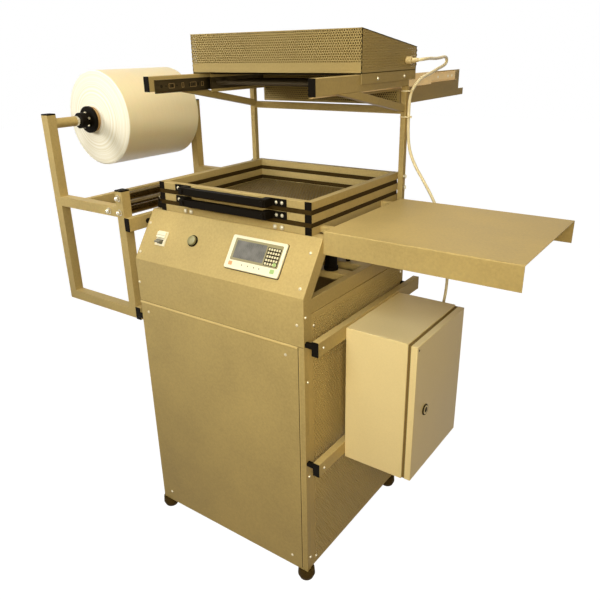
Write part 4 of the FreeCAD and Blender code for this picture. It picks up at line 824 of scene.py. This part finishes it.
class MACHINE_OT_heater_hood(MachineOperator, bpy.types.Operator):
    """Punched hood with its lining, reflector, heating tubes and screws, and the guard behind the frames"""
    bl_idname = "machine.heater_hood"
    bl_label = "Heater hood"

    (LEFT, FRONT, SKIRT), (RIGHT, REAR, HIGH_FRONT) = extent("heater_hood")
    # Foot of the punched walls, top of the rear wall, thickness, and the plain ring round the opening
    LOW, HIGH_REAR, SHEET, RING = 1395, 1456, 2, 38
    # How far the lining starts above the walls' foot, and the rounding of its edges
    LINING_RISE, LINING_EDGE = 4, 3
    # Plain borders of each wall at its left, right, foot and head, and of the top
    FRONT_BORDERS, REAR_BORDERS, SIDE_BORDERS = (3, 3, 27, 3), (3, 3, 6, 3), (3, 0, 8, 0)
    TOP_BORDERS = (3, 3, 3, 3)
    # Plain edge along the slanted head and the rear of a side wall, and the lining's distance from the walls
    EDGE, GAP = 4, 9
    # Guard between the webs behind the film frames: its corner, width, height, border and thickness, and
    # where the dark plate of painted shade behind its holes starts and ends in it
    GUARD, GUARD_WIDE, GUARD_HIGH, GUARD_BORDER, GUARD_THICK = (-247, 299, 1302), 494, 81, 6, 1.5
    BACKING = (0.2, 0.9)
    SCREWS_Y, SCREWS_Z = (97, 248), 1381
    HEATER = (("heater_reflector", "heat_dulled_reflector", 0, 1),
              ("infrared_elements", "fired_ceramic", 0, 2))

    def execute(self, context):
        pitch, hole = self.size("hood_pitch"), self.size("hood_hole")
        width, deep, high = self.RIGHT - self.LEFT, self.REAR - self.FRONT, self.HIGH_FRONT - self.LOW
        fall = self.HIGH_FRONT - self.HIGH_REAR
        mesh = bmesh.new()
        bordered_sheet(mesh, facing((self.LEFT, self.FRONT + self.SHEET, self.LOW), (1, 0, 0), (0, 0, 1)),
                       width, high, pitch, hole, self.FRONT_BORDERS)
        bordered_sheet(mesh, facing((self.RIGHT, self.REAR - self.SHEET, self.LOW), (-1, 0, 0), (0, 0, 1)),
                       width, high - fall, pitch, hole, self.REAR_BORDERS)
        top_edge = ((0, high - self.EDGE, 0), (fall, deep, 0))
        for x in (self.LEFT, self.RIGHT - self.SHEET):
            place = facing((x, self.FRONT, self.LOW), (0, 1, 0), (0, 0, 1))
            bordered_sheet(mesh, place, deep, high, pitch, hole, self.SIDE_BORDERS, cuts=[top_edge])
            strips = bmesh.new()
            add_plate(strips, [(0, high - self.EDGE), (deep, high - self.EDGE - fall), (deep, high - fall),
                               (0, high)], 0, self.SHEET)
            add_plate(strips, [(deep - self.EDGE, 0), (deep, 0), (deep, high - fall),
                               (deep - self.EDGE, high - fall)], 0, self.SHEET)
            lay(mesh, strips, place)
            add_block(mesh, (x, self.FRONT, self.SKIRT), (x + self.SHEET, self.REAR, self.LOW))
        for low, far in (((self.LEFT, self.FRONT), (self.RIGHT, self.FRONT + self.RING)),
                         ((self.LEFT, self.REAR - self.RING), (self.RIGHT, self.REAR)),
                         ((self.LEFT, self.FRONT), (self.LEFT + self.RING, self.REAR)),
                         ((self.RIGHT - self.RING, self.FRONT), (self.RIGHT, self.REAR))):
            add_block(mesh, (*low, self.LOW), (*far, self.LOW + self.SHEET))
        finish(mesh, "heater_hood_sides", "heat_browned_coat_on_hood", "heater_hood", replaces=True)
        mesh = bmesh.new()
        place = facing((self.LEFT, self.FRONT, self.HIGH_FRONT), (1, 0, 0), (0, deep, -fall))
        bordered_sheet(mesh, place @ Matrix.Translation((0, 0, -self.SHEET)), width, math.hypot(deep, fall),
                       pitch, hole, self.TOP_BORDERS)
        finish(mesh, "heater_hood_top", "heat_browned_coat_on_hood", "heater_hood")
        self.make_inside(width)
        self.make_guard(pitch, hole)
        return {"FINISHED"}

    def make_inside(self, width):
        """Mineral wool behind the holes, reflector and heating tubes."""
        mesh = bmesh.new()
        front, rear, gap = self.FRONT + self.GAP, self.REAR - self.GAP, self.GAP
        lining = bmesh.new()
        foot = self.LOW + self.LINING_RISE
        add_plate(lining, [(front, foot), (rear, foot), (rear, self.HIGH_REAR - gap),
                           (front, self.HIGH_FRONT - gap)], 0, width - 2 * gap)
        bmesh.ops.recalc_face_normals(lining, faces=lining.faces)
        lay(mesh, lining, facing((self.LEFT + gap, 0, 0), (0, 1, 0), (0, 0, 1)))
        round_over(mesh, outer_edges(mesh, 10), self.LINING_EDGE)
        finish(mesh, "heater_hood_lining", "heat_browned_lining", "heater_hood")
        self.soften_nodes(self.HEATER)

    def make_guard(self, pitch, hole):
        """Punched guard before the tray's wall, the painted shade behind its holes, and the hood's screws.
        """
        mesh = bmesh.new()
        bordered_sheet(mesh, facing(self.GUARD, (1, 0, 0), (0, 0, 1)), self.GUARD_WIDE, self.GUARD_HIGH,
                       pitch, hole, (self.GUARD_BORDER,) * 4, self.GUARD_THICK)
        finish(mesh, "rear_guard", "heat_browned_coat_on_hood", "carriage_tray")
        mesh = bmesh.new()
        x, y, z = self.GUARD
        near, far = self.BACKING
        add_block(mesh, (x + 1, y + near, z + 1), (-x - 1, y + far, z + self.GUARD_HIGH - 1))
        finish(mesh, "rear_guard_backing", "dark_print", "carriage_tray")
        mesh = bmesh.new()
        for x, way in ((self.RIGHT, 1), (self.LEFT, -1)):
            for y in self.SCREWS_Y:
                add_screw(mesh, (x, y, self.SCREWS_Z), (way, 0, 0), self.size("screw_head"))
        finish(mesh, "heater_hood_screws", "zinc_plated_steel", "heater_hood")


class MACHINE_OT_slides(MachineOperator, bpy.types.Operator):
    """Drawer slides: rolled channels with their rivets and slots, and the strip beside the left one"""
    bl_idname = "machine.slides"
    bl_label = "Slides"

    NODES, EDGE = ("slide_outer_members", "slide_ball_cages", "slide_inner_members"), 0.35
    LOW, HIGH = extent("slide_outer_members")
    # Inner face of a fixed channel's web and outer face of a carried channel, from the middle
    FIXED_X, CARRIED_X = HIGH.x - 1.5, 250.8
    MIDDLE_Z = (LOW.z + HIGH.z) / 2
    # Places of the fixed channel's holes, each with a smaller one behind it, and of the carried one's rivets
    HOLES_Y, SMALLER_Y = (-140, -98, -30, 4, 420, 462), 17
    RIVETS_Y = (90, 330, 560, 640, 672)
    # Each kind's rise, its widths at foot and tip, and its sides
    HOLE, SMALL_HOLE, RIVET = (0.5, 9, 8, 20), (0.35, 5, 4.6, 16), (0.5, 8, 7, 20)
    # Dark strip on the left web, painted shade under the hood: its outer face and thickness, its front and
    # rear end, its low and high edge, and how far its front end is turned out
    STRIP_X, STRIP_THICK, STRIP_Y, STRIP_Z, STRIP_END = -247.6, 0.8, (46, 298), (1349, 1382), 2.4
    # Slots of the left channel: where each starts, how long it is, and its low and high edge
    SLOTS_Y, SLOT_Z = ((-112, 20), (-62, 8), (-28, 24), (18, 8)), (1359, 1371.2)
    # Width of the slots' pale outlines, painted highlights on the dark channel, and how far before the web
    # they start and end
    LINE, LINE_FOOT, LINE_TIP = 1, 0.1, 0.6

    def execute(self, context):
        # Faces of the left-hand slide take the dark copy of the strip and the rest the bright one: painted
        # shade and painted light
        for node in self.NODES:
            soften(node, "zinc_slide_steel", 0, self.EDGE * MM, second="greased_slide_steel",
                   end_of=lambda face: face.calc_center_median().x < 0)
        fixed, carried = bmesh.new(), bmesh.new()
        for side in (-1, 1):
            for y in self.HOLES_Y:
                self.add_round(fixed, side * self.FIXED_X, y, -side, *self.HOLE)
                self.add_round(fixed, side * self.FIXED_X, y + self.SMALLER_Y, -side, *self.SMALL_HOLE)
            for y in self.RIVETS_Y:
                self.add_round(carried, side * self.CARRIED_X, y, side, *self.RIVET)
        # The fixed channels' holes are dark rounds: painted shade
        finish(fixed, "slide_fixed_rivets", "dark_print", "slide_outer_members")
        finish(carried, "slide_carried_rivets", "zinc_plated_steel", "slide_inner_members")
        self.make_strip()
        self.make_slots()
        return {"FINISHED"}

    def add_round(self, mesh, x, y, way, rise, wide, narrow, sides):
        """Add a flat round on a channel's face, at the channel's middle height."""
        add_rod(mesh, (x, y, self.MIDDLE_Z), (x + way * rise, y, self.MIDDLE_Z), wide, narrow, sides)

    def make_strip(self):
        """Dark strip on the inside of the left web: painted shade under the hood."""
        mesh = bmesh.new()
        (front, rear), (low, high), x = self.STRIP_Y, self.STRIP_Z, self.STRIP_X
        add_block(mesh, (x, front, low), (x + self.STRIP_THICK, rear, high))
        add_block(mesh, (x - self.STRIP_END, front - 1, low), (x + self.STRIP_THICK, front + 0.3, high))
        finish(mesh, "left_web_strip", "greased_slide_steel", "carriage_tray")

    def make_slots(self):
        """Pale outlines of the left channel's slots, in the bright copy of the strip: painted highlights."""
        mesh = bmesh.new()
        low, high = self.SLOT_Z
        foot, tip = self.LINE_FOOT - self.FIXED_X, self.LINE_TIP - self.FIXED_X
        for start, long in self.SLOTS_Y:
            for z in (low, high):
                add_block(mesh, (foot, start, z), (tip, start + long, z + self.LINE))
            for end in (start, start + long):
                add_block(mesh, (foot, end - self.LINE / 2, low),
                          (tip, end + self.LINE / 2, high + self.LINE))
        finish(mesh, "left_slot_outlines", "zinc_slide_steel", "slide_outer_members")


class MACHINE_OT_vacuum_table(MachineOperator, bpy.types.Operator):
    """Punched table plate in its plain border, its columns, and the pump and hose below"""
    bl_idname = "machine.vacuum_table"
    bl_label = "Vacuum table"

    LOW, HIGH = extent("vacuum_plate")
    BORDER = 14
    BELOW = (("table_columns", "moulded_black_plastic", 0, 2), ("vacuum_hose", "moulded_rubber", 0, 2),
             ("vacuum_pump", "hammered_enamel", 4, 1))

    def execute(self, context):
        mesh = bmesh.new()
        width, deep, thickness = self.HIGH - self.LOW
        bordered_sheet(mesh, facing(self.LOW, (1, 0, 0), (0, 1, 0)), width, deep, self.size("table_pitch"),
                       self.size("table_hole"), (self.BORDER,) * 4, thickness)
        finish(mesh, "vacuum_plate_punched", "tarnished_table_steel", "vacuum_plate", replaces=True)
        self.soften_nodes(self.BELOW)
        return {"FINISHED"}


class MACHINE_OT_console_fittings(MachineOperator, bpy.types.Operator):
    """Display unit, push button and circuit breaker set into the console's slope"""
    bl_idname = "machine.console_fittings"
    bl_label = "Console fittings"

    # Low left corner of the display's case on the slope, its width, height and rise
    LEFT, LOW, WIDTH, HEIGHT, RISE = 33, 34, 178, 92, 6
    # Plates of the display: name, material, low and high corner from the case's own corner, start and end
    # out of the slope, and the radius of the corners and of the edge. The first, dark plate stands out below
    # and right of the case as its painted shadow
    PLATES = (("display_seal", "dark_print", (-0.6, -1.8), (WIDTH + 1.8, HEIGHT + 0.6), 0, 1.2, 5.5, 0.25),
              ("display_case", "light_abs", (0, 0), (WIDTH, HEIGHT), 0, RISE, 5, 1.6),
              ("display_back_case", "light_abs", (11, 11), (WIDTH - 11, HEIGHT - 11), -32, 0, 3, 0.25),
              ("display_overlay", "printed_overlay", (13, 23.5), (169, 84), RISE, RISE + 0.5, 3, 0.25),
              ("display_window", "liquid_crystal_window", (20, 30), (119, 78), RISE + 0.5, RISE + 0.9,
               1.5, 0.25),
              ("display_key_ground", "dark_print", (123, 27), (166, 75), RISE + 0.4, RISE + 0.7, 1.5, 0.25))
    COLOURED_KEYS = (("display_orange_key", "orange_key", (13, 9), (25, 19.5), RISE, RISE + 0.9, 1.5, 0.25),
                     ("display_green_key", "green_key", (150, 9), (163, 20), RISE, RISE + 0.9, 1.5, 0.25),
                     ("display_upper_green_key", "green_key", (153, 28), (162, 37), RISE + 0.9, RISE + 1.6,
                      1.5, 0.25))
    # Keys: their columns and rows, the first key's middle, their pitch and half their width and height
    KEYS, KEY_START, KEY_PITCH, KEY_HALF = (5, 5), (128.5, 31.8), (8, 9.6), (2.7, 2.9)
    # Marks under the window: their middles, half their width, and their low and high edge
    MARKS, MARK_HALF, MARK_LOW, MARK_HIGH = (58, 78, 98, 115), 1.4, 13, 16
    # Breaker: its clamp screws, the seams of its front and the dark label field, each with the height of the
    # face that it lies on, and the thickness of the marks
    CLAMPS, CLAMP_V, CLAMP_WIDE, SHOULDER = (-231, -213), 89, 5, 4
    SEAMS_V, SEAM_U, SEAM_WIDE, NOSE = (73.1, 81), (-238.5, -205.5), 0.8, 9.9
    FIELD_LOW, FIELD_HIGH, MARK_THICK, CLAMP_THICK = (-232, 57), (-212, 70), 0.25, 0.3
    SWITCHES = (("button_collar", "moulded_black_plastic", 0, 1.4),
                ("button_cap", "button_polycarbonate", 0, 0), ("breaker_body", "light_abs", 0, 1),
                ("breaker_lever", "toggle_nylon", 0, 1.2))

    def plate(self, name, material, low, high, start, end, corner, edge):
        """Make a thin rounded plate on the slope, its corners measured from the display's own corner."""
        mesh = bmesh.new()
        add_block(mesh, (self.LEFT + low[0], self.LOW + low[1], start),
                  (self.LEFT + high[0], self.LOW + high[1], end))
        upright = [e for e in mesh.edges if abs(e.verts[0].co.z - e.verts[1].co.z) > (end - start) / 2]
        round_over(mesh, upright, corner, 4)
        top = [e for e in mesh.edges if min(v.co.z for v in e.verts) > end - 1e-4]
        round_over(mesh, top, edge, 2)
        finish(mesh, name, material, "hmi_panel", ON_SLOPE, replaces=name == "display_case")

    def execute(self, context):
        for row in self.PLATES:
            self.plate(*row)
        self.make_keypad()
        for row in self.COLOURED_KEYS:
            self.plate(*row)
        marks = bmesh.new()
        for u in self.MARKS:
            add_block(marks, (self.LEFT + u - self.MARK_HALF, self.LOW + self.MARK_LOW, self.RISE),
                      (self.LEFT + u + self.MARK_HALF, self.LOW + self.MARK_HIGH, self.RISE + 0.3))
        finish(marks, "display_marks", "dark_print", "hmi_panel", ON_SLOPE)
        self.soften_nodes(self.SWITCHES)
        self.make_breaker_details()
        return {"FINISHED"}

    def make_keypad(self):
        """Keys beside the window, raised a little under the overlay."""
        keys = bmesh.new()
        half = Vector((*self.KEY_HALF, 0))
        for column in range(self.KEYS[0]):
            for row in range(self.KEYS[1]):
                place = Vector((self.LEFT + self.KEY_START[0] + column * self.KEY_PITCH[0],
                                self.LOW + self.KEY_START[1] + row * self.KEY_PITCH[1], self.RISE))
                add_block(keys, place - half + Vector((0, 0, 0.6)), place + half + Vector((0, 0, 1.2)))
        round_over(keys, outer_edges(keys, 0.4), 0.25)
        finish(keys, "display_keypad", "overlay_keys", "hmi_panel", ON_SLOPE)

    def make_breaker_details(self):
        """Clamp screws, seams and label field of the breaker's front."""
        mesh = bmesh.new()
        for u in self.CLAMPS:
            add_rod(mesh, (u, self.CLAMP_V, self.SHOULDER),
                    (u, self.CLAMP_V, self.SHOULDER + self.CLAMP_THICK), self.CLAMP_WIDE, sides=16)
        left, right = self.SEAM_U
        for v in self.SEAMS_V:
            add_block(mesh, (left, v, self.NOSE), (right, v + self.SEAM_WIDE, self.NOSE + self.MARK_THICK))
        add_block(mesh, (*self.FIELD_LOW, self.SHOULDER),
                  (*self.FIELD_HIGH, self.SHOULDER + self.MARK_THICK))
        finish(mesh, "breaker_slots", "dark_print", "breaker_body", ON_SLOPE)


class MACHINE_OT_frame_fittings(MachineOperator, bpy.types.Operator):
    """Seals, handles with their bolts, pivot bolts and the switch beside the film frames"""
    bl_idname = "machine.frame_fittings"
    bl_label = "Frame fittings"

    # The handles' middle, the frames' face that they stand on, and the face of their bosses
    HANDLE_X, FACE_Y, BOSS_Y = -3, -184, -214
    # Bolts and bosses of a handle, from its middle, and half the length and height of a boss
    BOLTS_X, BOLT_WIDE, BOSSES_X, BOSS = (-182, -164, 164, 182), 8, (-141, 141), 9
    # Boss: rise of its cap, the cap's widths with its sides, and its ribs' start behind the face, half their
    # thickness and the rounding of their edges
    CAP_RISE, CAP_WIDE, RIB_START, RIB_HALF, RIB_EDGE = 4, (13, 11, 20), 3, 1.2, 0.6
    # Lever of the switch beside the frames: foot and tip, and the widths there with the sides
    PIN_FOOT, PIN_TIP, PIN_WIDE = (-283, -170, 1056), (-280, -172, 1062), (3.2, 2.2, 16)
    SEALS = (("base_gasket", "foam_rubber_strip", 0, 2), ("middle_gasket", "foam_rubber_strip", 0, 2))
    HANDLES = (("middle_handle", "moulded_black_plastic", 2.2, 1),
               ("upper_handle", "moulded_black_plastic", 2.2, 1))
    FITTINGS = (("frame_hinge_bolts", "zinc_plated_steel", 0, 2),
                ("frame_switch", "moulded_black_plastic", 1.5, 1))

    def execute(self, context):
        self.soften_nodes(self.SEALS)
        for row in self.HANDLES:
            self.soften_nodes([row])
            self.make_handle_details(row[0], middle(row[0]).z)
        self.soften_nodes(self.FITTINGS)
        mesh = bmesh.new()
        add_rod(mesh, self.PIN_FOOT, self.PIN_TIP, *self.PIN_WIDE)
        finish(mesh, "frame_switch_pin", "zinc_plated_steel", "frame_switch")
        return {"FINISHED"}

    def make_handle_details(self, node, level):
        """Bolts beside the handle, and the ribbed bosses at its ends."""
        mesh = bmesh.new()
        for x in self.BOLTS_X:
            add_screw(mesh, (self.HANDLE_X + x, self.FACE_Y, level), (0, -1, 0), self.BOLT_WIDE)
        finish(mesh, node + "_bolts", "zinc_plated_steel", node)
        mesh = bmesh.new()
        for x in self.BOSSES_X:
            x += self.HANDLE_X
            add_rod(mesh, (x, self.BOSS_Y, level), (x, self.BOSS_Y - self.CAP_RISE, level), *self.CAP_WIDE)
            for z in (level - self.BOSS, level + self.BOSS):
                add_block(mesh, (x - self.BOSS, self.BOSS_Y + self.RIB_START, z - self.RIB_HALF),
                          (x + self.BOSS, self.FACE_Y, z + self.RIB_HALF))
        round_over(mesh, outer_edges(mesh, 2), self.RIB_EDGE)
        finish(mesh, node + "_bosses", "moulded_black_plastic", node)


class MACHINE_OT_film_roll(MachineOperator, bpy.types.Operator):
    """Roll of film on its board core, chucks and shaft, and the guide rollers"""
    bl_idname = "machine.film_roll"
    bl_label = "Film roll"

    ROLLERS = ("guide_roller_upper", "guide_roller_inner", "guide_roller_outer")
    # Pieces at the roll's front: name, material, node, radius of their edges, and the bars that make them,
    # each with its start and end along Y, its widths there and its number of sides
    ENDS = (("film_roll_pushed_end", "film_roll_end", "film_roll", 0,
             ((-57, -60, 298, 290, 96), (-60, -68, 290, 216, 96), (-68, -79, 216, 96, 96),
              (-79, -80.5, 96, 90, 96))),
            ("roll_core_end", "kraft_board", "roll_core", 0.8, ((-60, -92, 77, 77, 64),)),
            ("shaft_collar", "ground_bright_steel", "roll_shaft", 0, ((-150, -136.8, 30.5, 30.5, 32),)),
            ("chuck_flange", "moulded_black_plastic", "roll_chucks", 1.2, ((-91.5, -102, 83, 83, 64),)))
    # Washer, six-sided nut and dome at the front of a guide roller's shaft, as bars of the same kind
    NUT = ((-256, -258, 19, 19, 24), (-258, -264.5, 15, 15, 6), (-264.5, -268, 13, 10, 24),
           (-268, -269.5, 10, 4, 24))
    # Set screws round the chuck: number, first angle, place along Y, how far out they start and end, and the
    # widths there with the sides
    SET_SCREWS, FIRST_ANGLE, SET_Y, SET_FOOT, SET_TIP, SET_WIDE = 6, 15, -113, 23, 26, (8.5, 7, 12)
    NODES = (("roll_core", "kraft_board", 0, 0), ("roll_chucks", "moulded_black_plastic", 0, 2),
             ("roll_shaft", "ground_bright_steel", 0, 2),
             *((roller, "polished_roller_steel", 0, 1) for roller in ROLLERS),
             ("roller_shafts", "zinc_plated_steel", 0, 0))

    def execute(self, context):
        soften("film_roll", "wound_film", 0, 1.5 * MM, second="film_roll_end",
               end_of=lambda face: abs(face.normal.y) > 0.9)
        self.soften_nodes(self.NODES)
        axis = middle("film_roll")
        for name, material, node, edge, bars in self.ENDS:
            mesh = bmesh.new()
            self.add_bars(mesh, axis, bars)
            if edge:
                round_over(mesh, outer_edges(mesh, 2), edge)
            finish(mesh, name, material, node)
        mesh = bmesh.new()
        for number in range(self.SET_SCREWS):
            angle = math.radians(360 / self.SET_SCREWS * number + self.FIRST_ANGLE)
            way = Vector((math.cos(angle), 0, math.sin(angle)))
            hub = Vector((axis.x, self.SET_Y, axis.z))
            add_rod(mesh, hub + way * self.SET_FOOT, hub + way * self.SET_TIP, *self.SET_WIDE)
        finish(mesh, "chuck_set_screws", "zinc_plated_steel", "roll_chucks")
        mesh = bmesh.new()
        for node in self.ROLLERS:
            self.add_bars(mesh, middle(node), self.NUT)
        finish(mesh, "roller_dome_nuts", "ground_bright_steel", "roller_shafts")
        return {"FINISHED"}

    def add_bars(self, mesh, axis, bars):
        """Add round bars along Y on an axis."""
        for start, end, wide, narrow, sides in bars:
            add_rod(mesh, (axis.x, start, axis.z), (axis.x, end, axis.z), wide, narrow, sides)


class MACHINE_OT_electric_box(MachineOperator, bpy.types.Operator):
    """Wall box with its door, seal, lock and control gear"""
    bl_idname = "machine.electric_box"
    bl_label = "Electric box"

    # Ring of the lock and the small hole above it: name, foot and tip, and the widths there with the sides
    ROUNDS = (("door_lock_ring", (547, -77, 575), (550.6, -77, 575), (31, 29, 32)),
              ("door_dark_holes", (546.8, -133, 770), (547.2, -133, 770), (6, 6, 20)))
    NODES = (("electric_box_body", "light_enclosure_coat", 1.6, 1),
             ("electric_box_door", "light_enclosure_coat", 2, 1), ("box_gasket", "box_seal_foam", 0, 2),
             ("door_lock", "dark_print", 0, 1), ("control_gear", "light_abs", 1.5, 1))

    def execute(self, context):
        self.soften_nodes(self.NODES)
        for name, foot, tip, widths in self.ROUNDS:
            mesh = bmesh.new()
            add_rod(mesh, foot, tip, *widths)
            finish(mesh, name, "dark_print", "electric_box_door")
        return {"FINISHED"}


class MACHINE_OT_plugs_and_feet(MachineOperator, bpy.types.Operator):
    """Tube plugs, rail bushes, feet and cable glands"""
    bl_idname = "machine.plugs_and_feet"
    bl_label = "Plugs and feet"

    # Each foot's place, and the steps of its sleeve: low and high end and the widths there
    FEET_X, FEET_Y, SLEEVE = (-285, 285), (-255, 255), ((1, 14, 40, 51), (14, 34, 51, 48))
    # Cones where the cable leaves a gland: name, node, start and end, then their widths there
    RELIEFS = (("heater_cable_relief", "heater_gland", (302, 260, 1421), (320, 263.5, 1421.9)),
               ("box_cable_relief", "box_gland", (440, 172, 650), (440, 195, 652)))
    RELIEF_WIDE, RELIEF_NARROW = 14, 10.4
    NODES = (("tube_end_caps", "moulded_black_plastic", 0, 1),
             ("rail_spacers", "moulded_black_plastic", 0, 2), ("leveling_feet", "moulded_rubber", 0, 2))
    GLANDS = (("heater_gland", "gland_nylon", 0, 2), ("box_gland", "gland_nylon", 0, 2))

    def execute(self, context):
        self.soften_nodes(self.NODES)
        mesh = bmesh.new()
        for x in self.FEET_X:
            for y in self.FEET_Y:
                for low, high, wide, narrow in self.SLEEVE:
                    add_rod(mesh, (x, y, low), (x, y, high), wide, narrow)
        finish(mesh, "foot_sleeves", "moulded_rubber", "leveling_feet")
        self.soften_nodes(self.GLANDS)
        for name, node, start, end in self.RELIEFS:
            mesh = bmesh.new()
            add_rod(mesh, start, end, self.RELIEF_WIDE, self.RELIEF_NARROW)
            round_over(mesh, outer_edges(mesh, 2), 1)
            finish(mesh, name, "gland_nylon", node)
        return {"FINISHED"}


class MACHINE_OT_screws(MachineOperator, bpy.types.Operator):
    """Screws of the panels, console, frames and rails"""
    bl_idname = "machine.screws"
    bl_label = "Screws"

    # The way that each group looks, its heads' share of the screw's width, and its places: front panel and
    # console, base frame, table plate, left side, right side with the console's flange and the front right
    # rail, front left rail
    GROUPS = (((0, -1, 0), 1, ((-269, -HALF_D, 732), (242, -HALF_D, 732), (-258, -HALF_D, 72),
                               (246, -HALF_D, 72), (-293, -HALF_D, 824), (280, -HALF_D, 824))),
              ((0, -1, 0), 1.5, ((-164, -182, 1036), (-143, -182, 1036), (154, -182, 1036),
                                 (176, -182, 1036))),
              ((0, 0, 1), 1, ((232, 120, 1046), (232, 190, 1046), (232, 255, 1046), (190, 257, 1046))),
              ((-1, 0, 0), 1, ((-HALF_W, -227, 65), (-HALF_W, -227, 812), (-HALF_W, 250, 65),
                               (-HALF_W, 250, 812))),
              ((1, 0, 0), 1, ((HALF_W, -227, 65), (HALF_W, -227, 812), (HALF_W, 250, 65),
                              (HALF_W, 250, 812), (HALF_W, -262, 846), (HALF_W, -256, 663),
                              (HALF_W, -256, 369), (HALF_W, -256, 82), (345, -250, 772),
                              (345, -250, 414))),
              ((-1, 0, 0), 1, ((-345, -236, 987), (-345, -236, 706))))
    ON_CONSOLE = ((-290, 113, 0), (-289, 23, 0), (279, 116, 0), (282, 24, 0))

    def execute(self, context):
        width = self.size("screw_head")
        mesh = bmesh.new()
        for outward, share, places in self.GROUPS:
            for place in places:
                add_screw(mesh, place, outward, width * share)
        finish(mesh, "panel_screws", "zinc_plated_steel", "front_panels")
        mesh = bmesh.new()
        for place in self.ON_CONSOLE:
            add_screw(mesh, place, (0, 0, 1), width)
        finish(mesh, "console_screws", "zinc_plated_steel", "console_cover", ON_SLOPE)
        return {"FINISHED"}


class MACHINE_PT_panel(bpy.types.Panel):
    """The machine's sizes, colours and pieces"""
    bl_label = "Skin packaging machine"
    bl_idname = "MACHINE_PT_panel"
    bl_space_type = "VIEW_3D"
    bl_region_type = "UI"
    bl_category = "Machine"

    def draw(self, context):
        for settings in (context.scene.machine_sizes, context.scene.machine_colours,
                         context.scene.machine_stage):
            box = self.layout.box()
            for name in settings.bl_rna.properties.keys():
                if name not in ("rna_type", "name"):
                    box.prop(settings, name)
        for operator in OPERATORS:
            self.layout.operator(operator.bl_idname)


SETTINGS = {"machine_sizes": MachineSizes, "machine_colours": MachineColours, "machine_stage": MachineStage}
OPERATORS = (MACHINE_OT_stage, MACHINE_OT_heater_cable, MACHINE_OT_painted_tubes, MACHINE_OT_folded_sheets,
             MACHINE_OT_cabinet_panels, MACHINE_OT_heater_hood, MACHINE_OT_slides, MACHINE_OT_vacuum_table,
             MACHINE_OT_console_fittings, MACHINE_OT_frame_fittings, MACHINE_OT_film_roll,
             MACHINE_OT_electric_box, MACHINE_OT_plugs_and_feet, MACHINE_OT_screws)


def register():
    """Register the settings, the operators and the panel."""
    for name, settings in SETTINGS.items():
        bpy.utils.register_class(settings)
        setattr(bpy.types.Scene, name, bpy.props.PointerProperty(type=settings))
    for item in (*OPERATORS, MACHINE_PT_panel):
        bpy.utils.register_class(item)


def unregister():
    """Take the panel, the operators and the settings out again."""
    for item in (MACHINE_PT_panel, *reversed(OPERATORS)):
        bpy.utils.unregister_class(item)
    for name, settings in SETTINGS.items():
        delattr(bpy.types.Scene, name)
        bpy.utils.unregister_class(settings)


def main():
    """Make the whole machine."""
    register()
    make_finishes(bpy.context.scene.machine_colours)
    for operator in OPERATORS:
        group, name = operator.bl_idname.split(".")
        getattr(getattr(bpy.ops, group), name)()


if __name__ == "__main__":
    main()
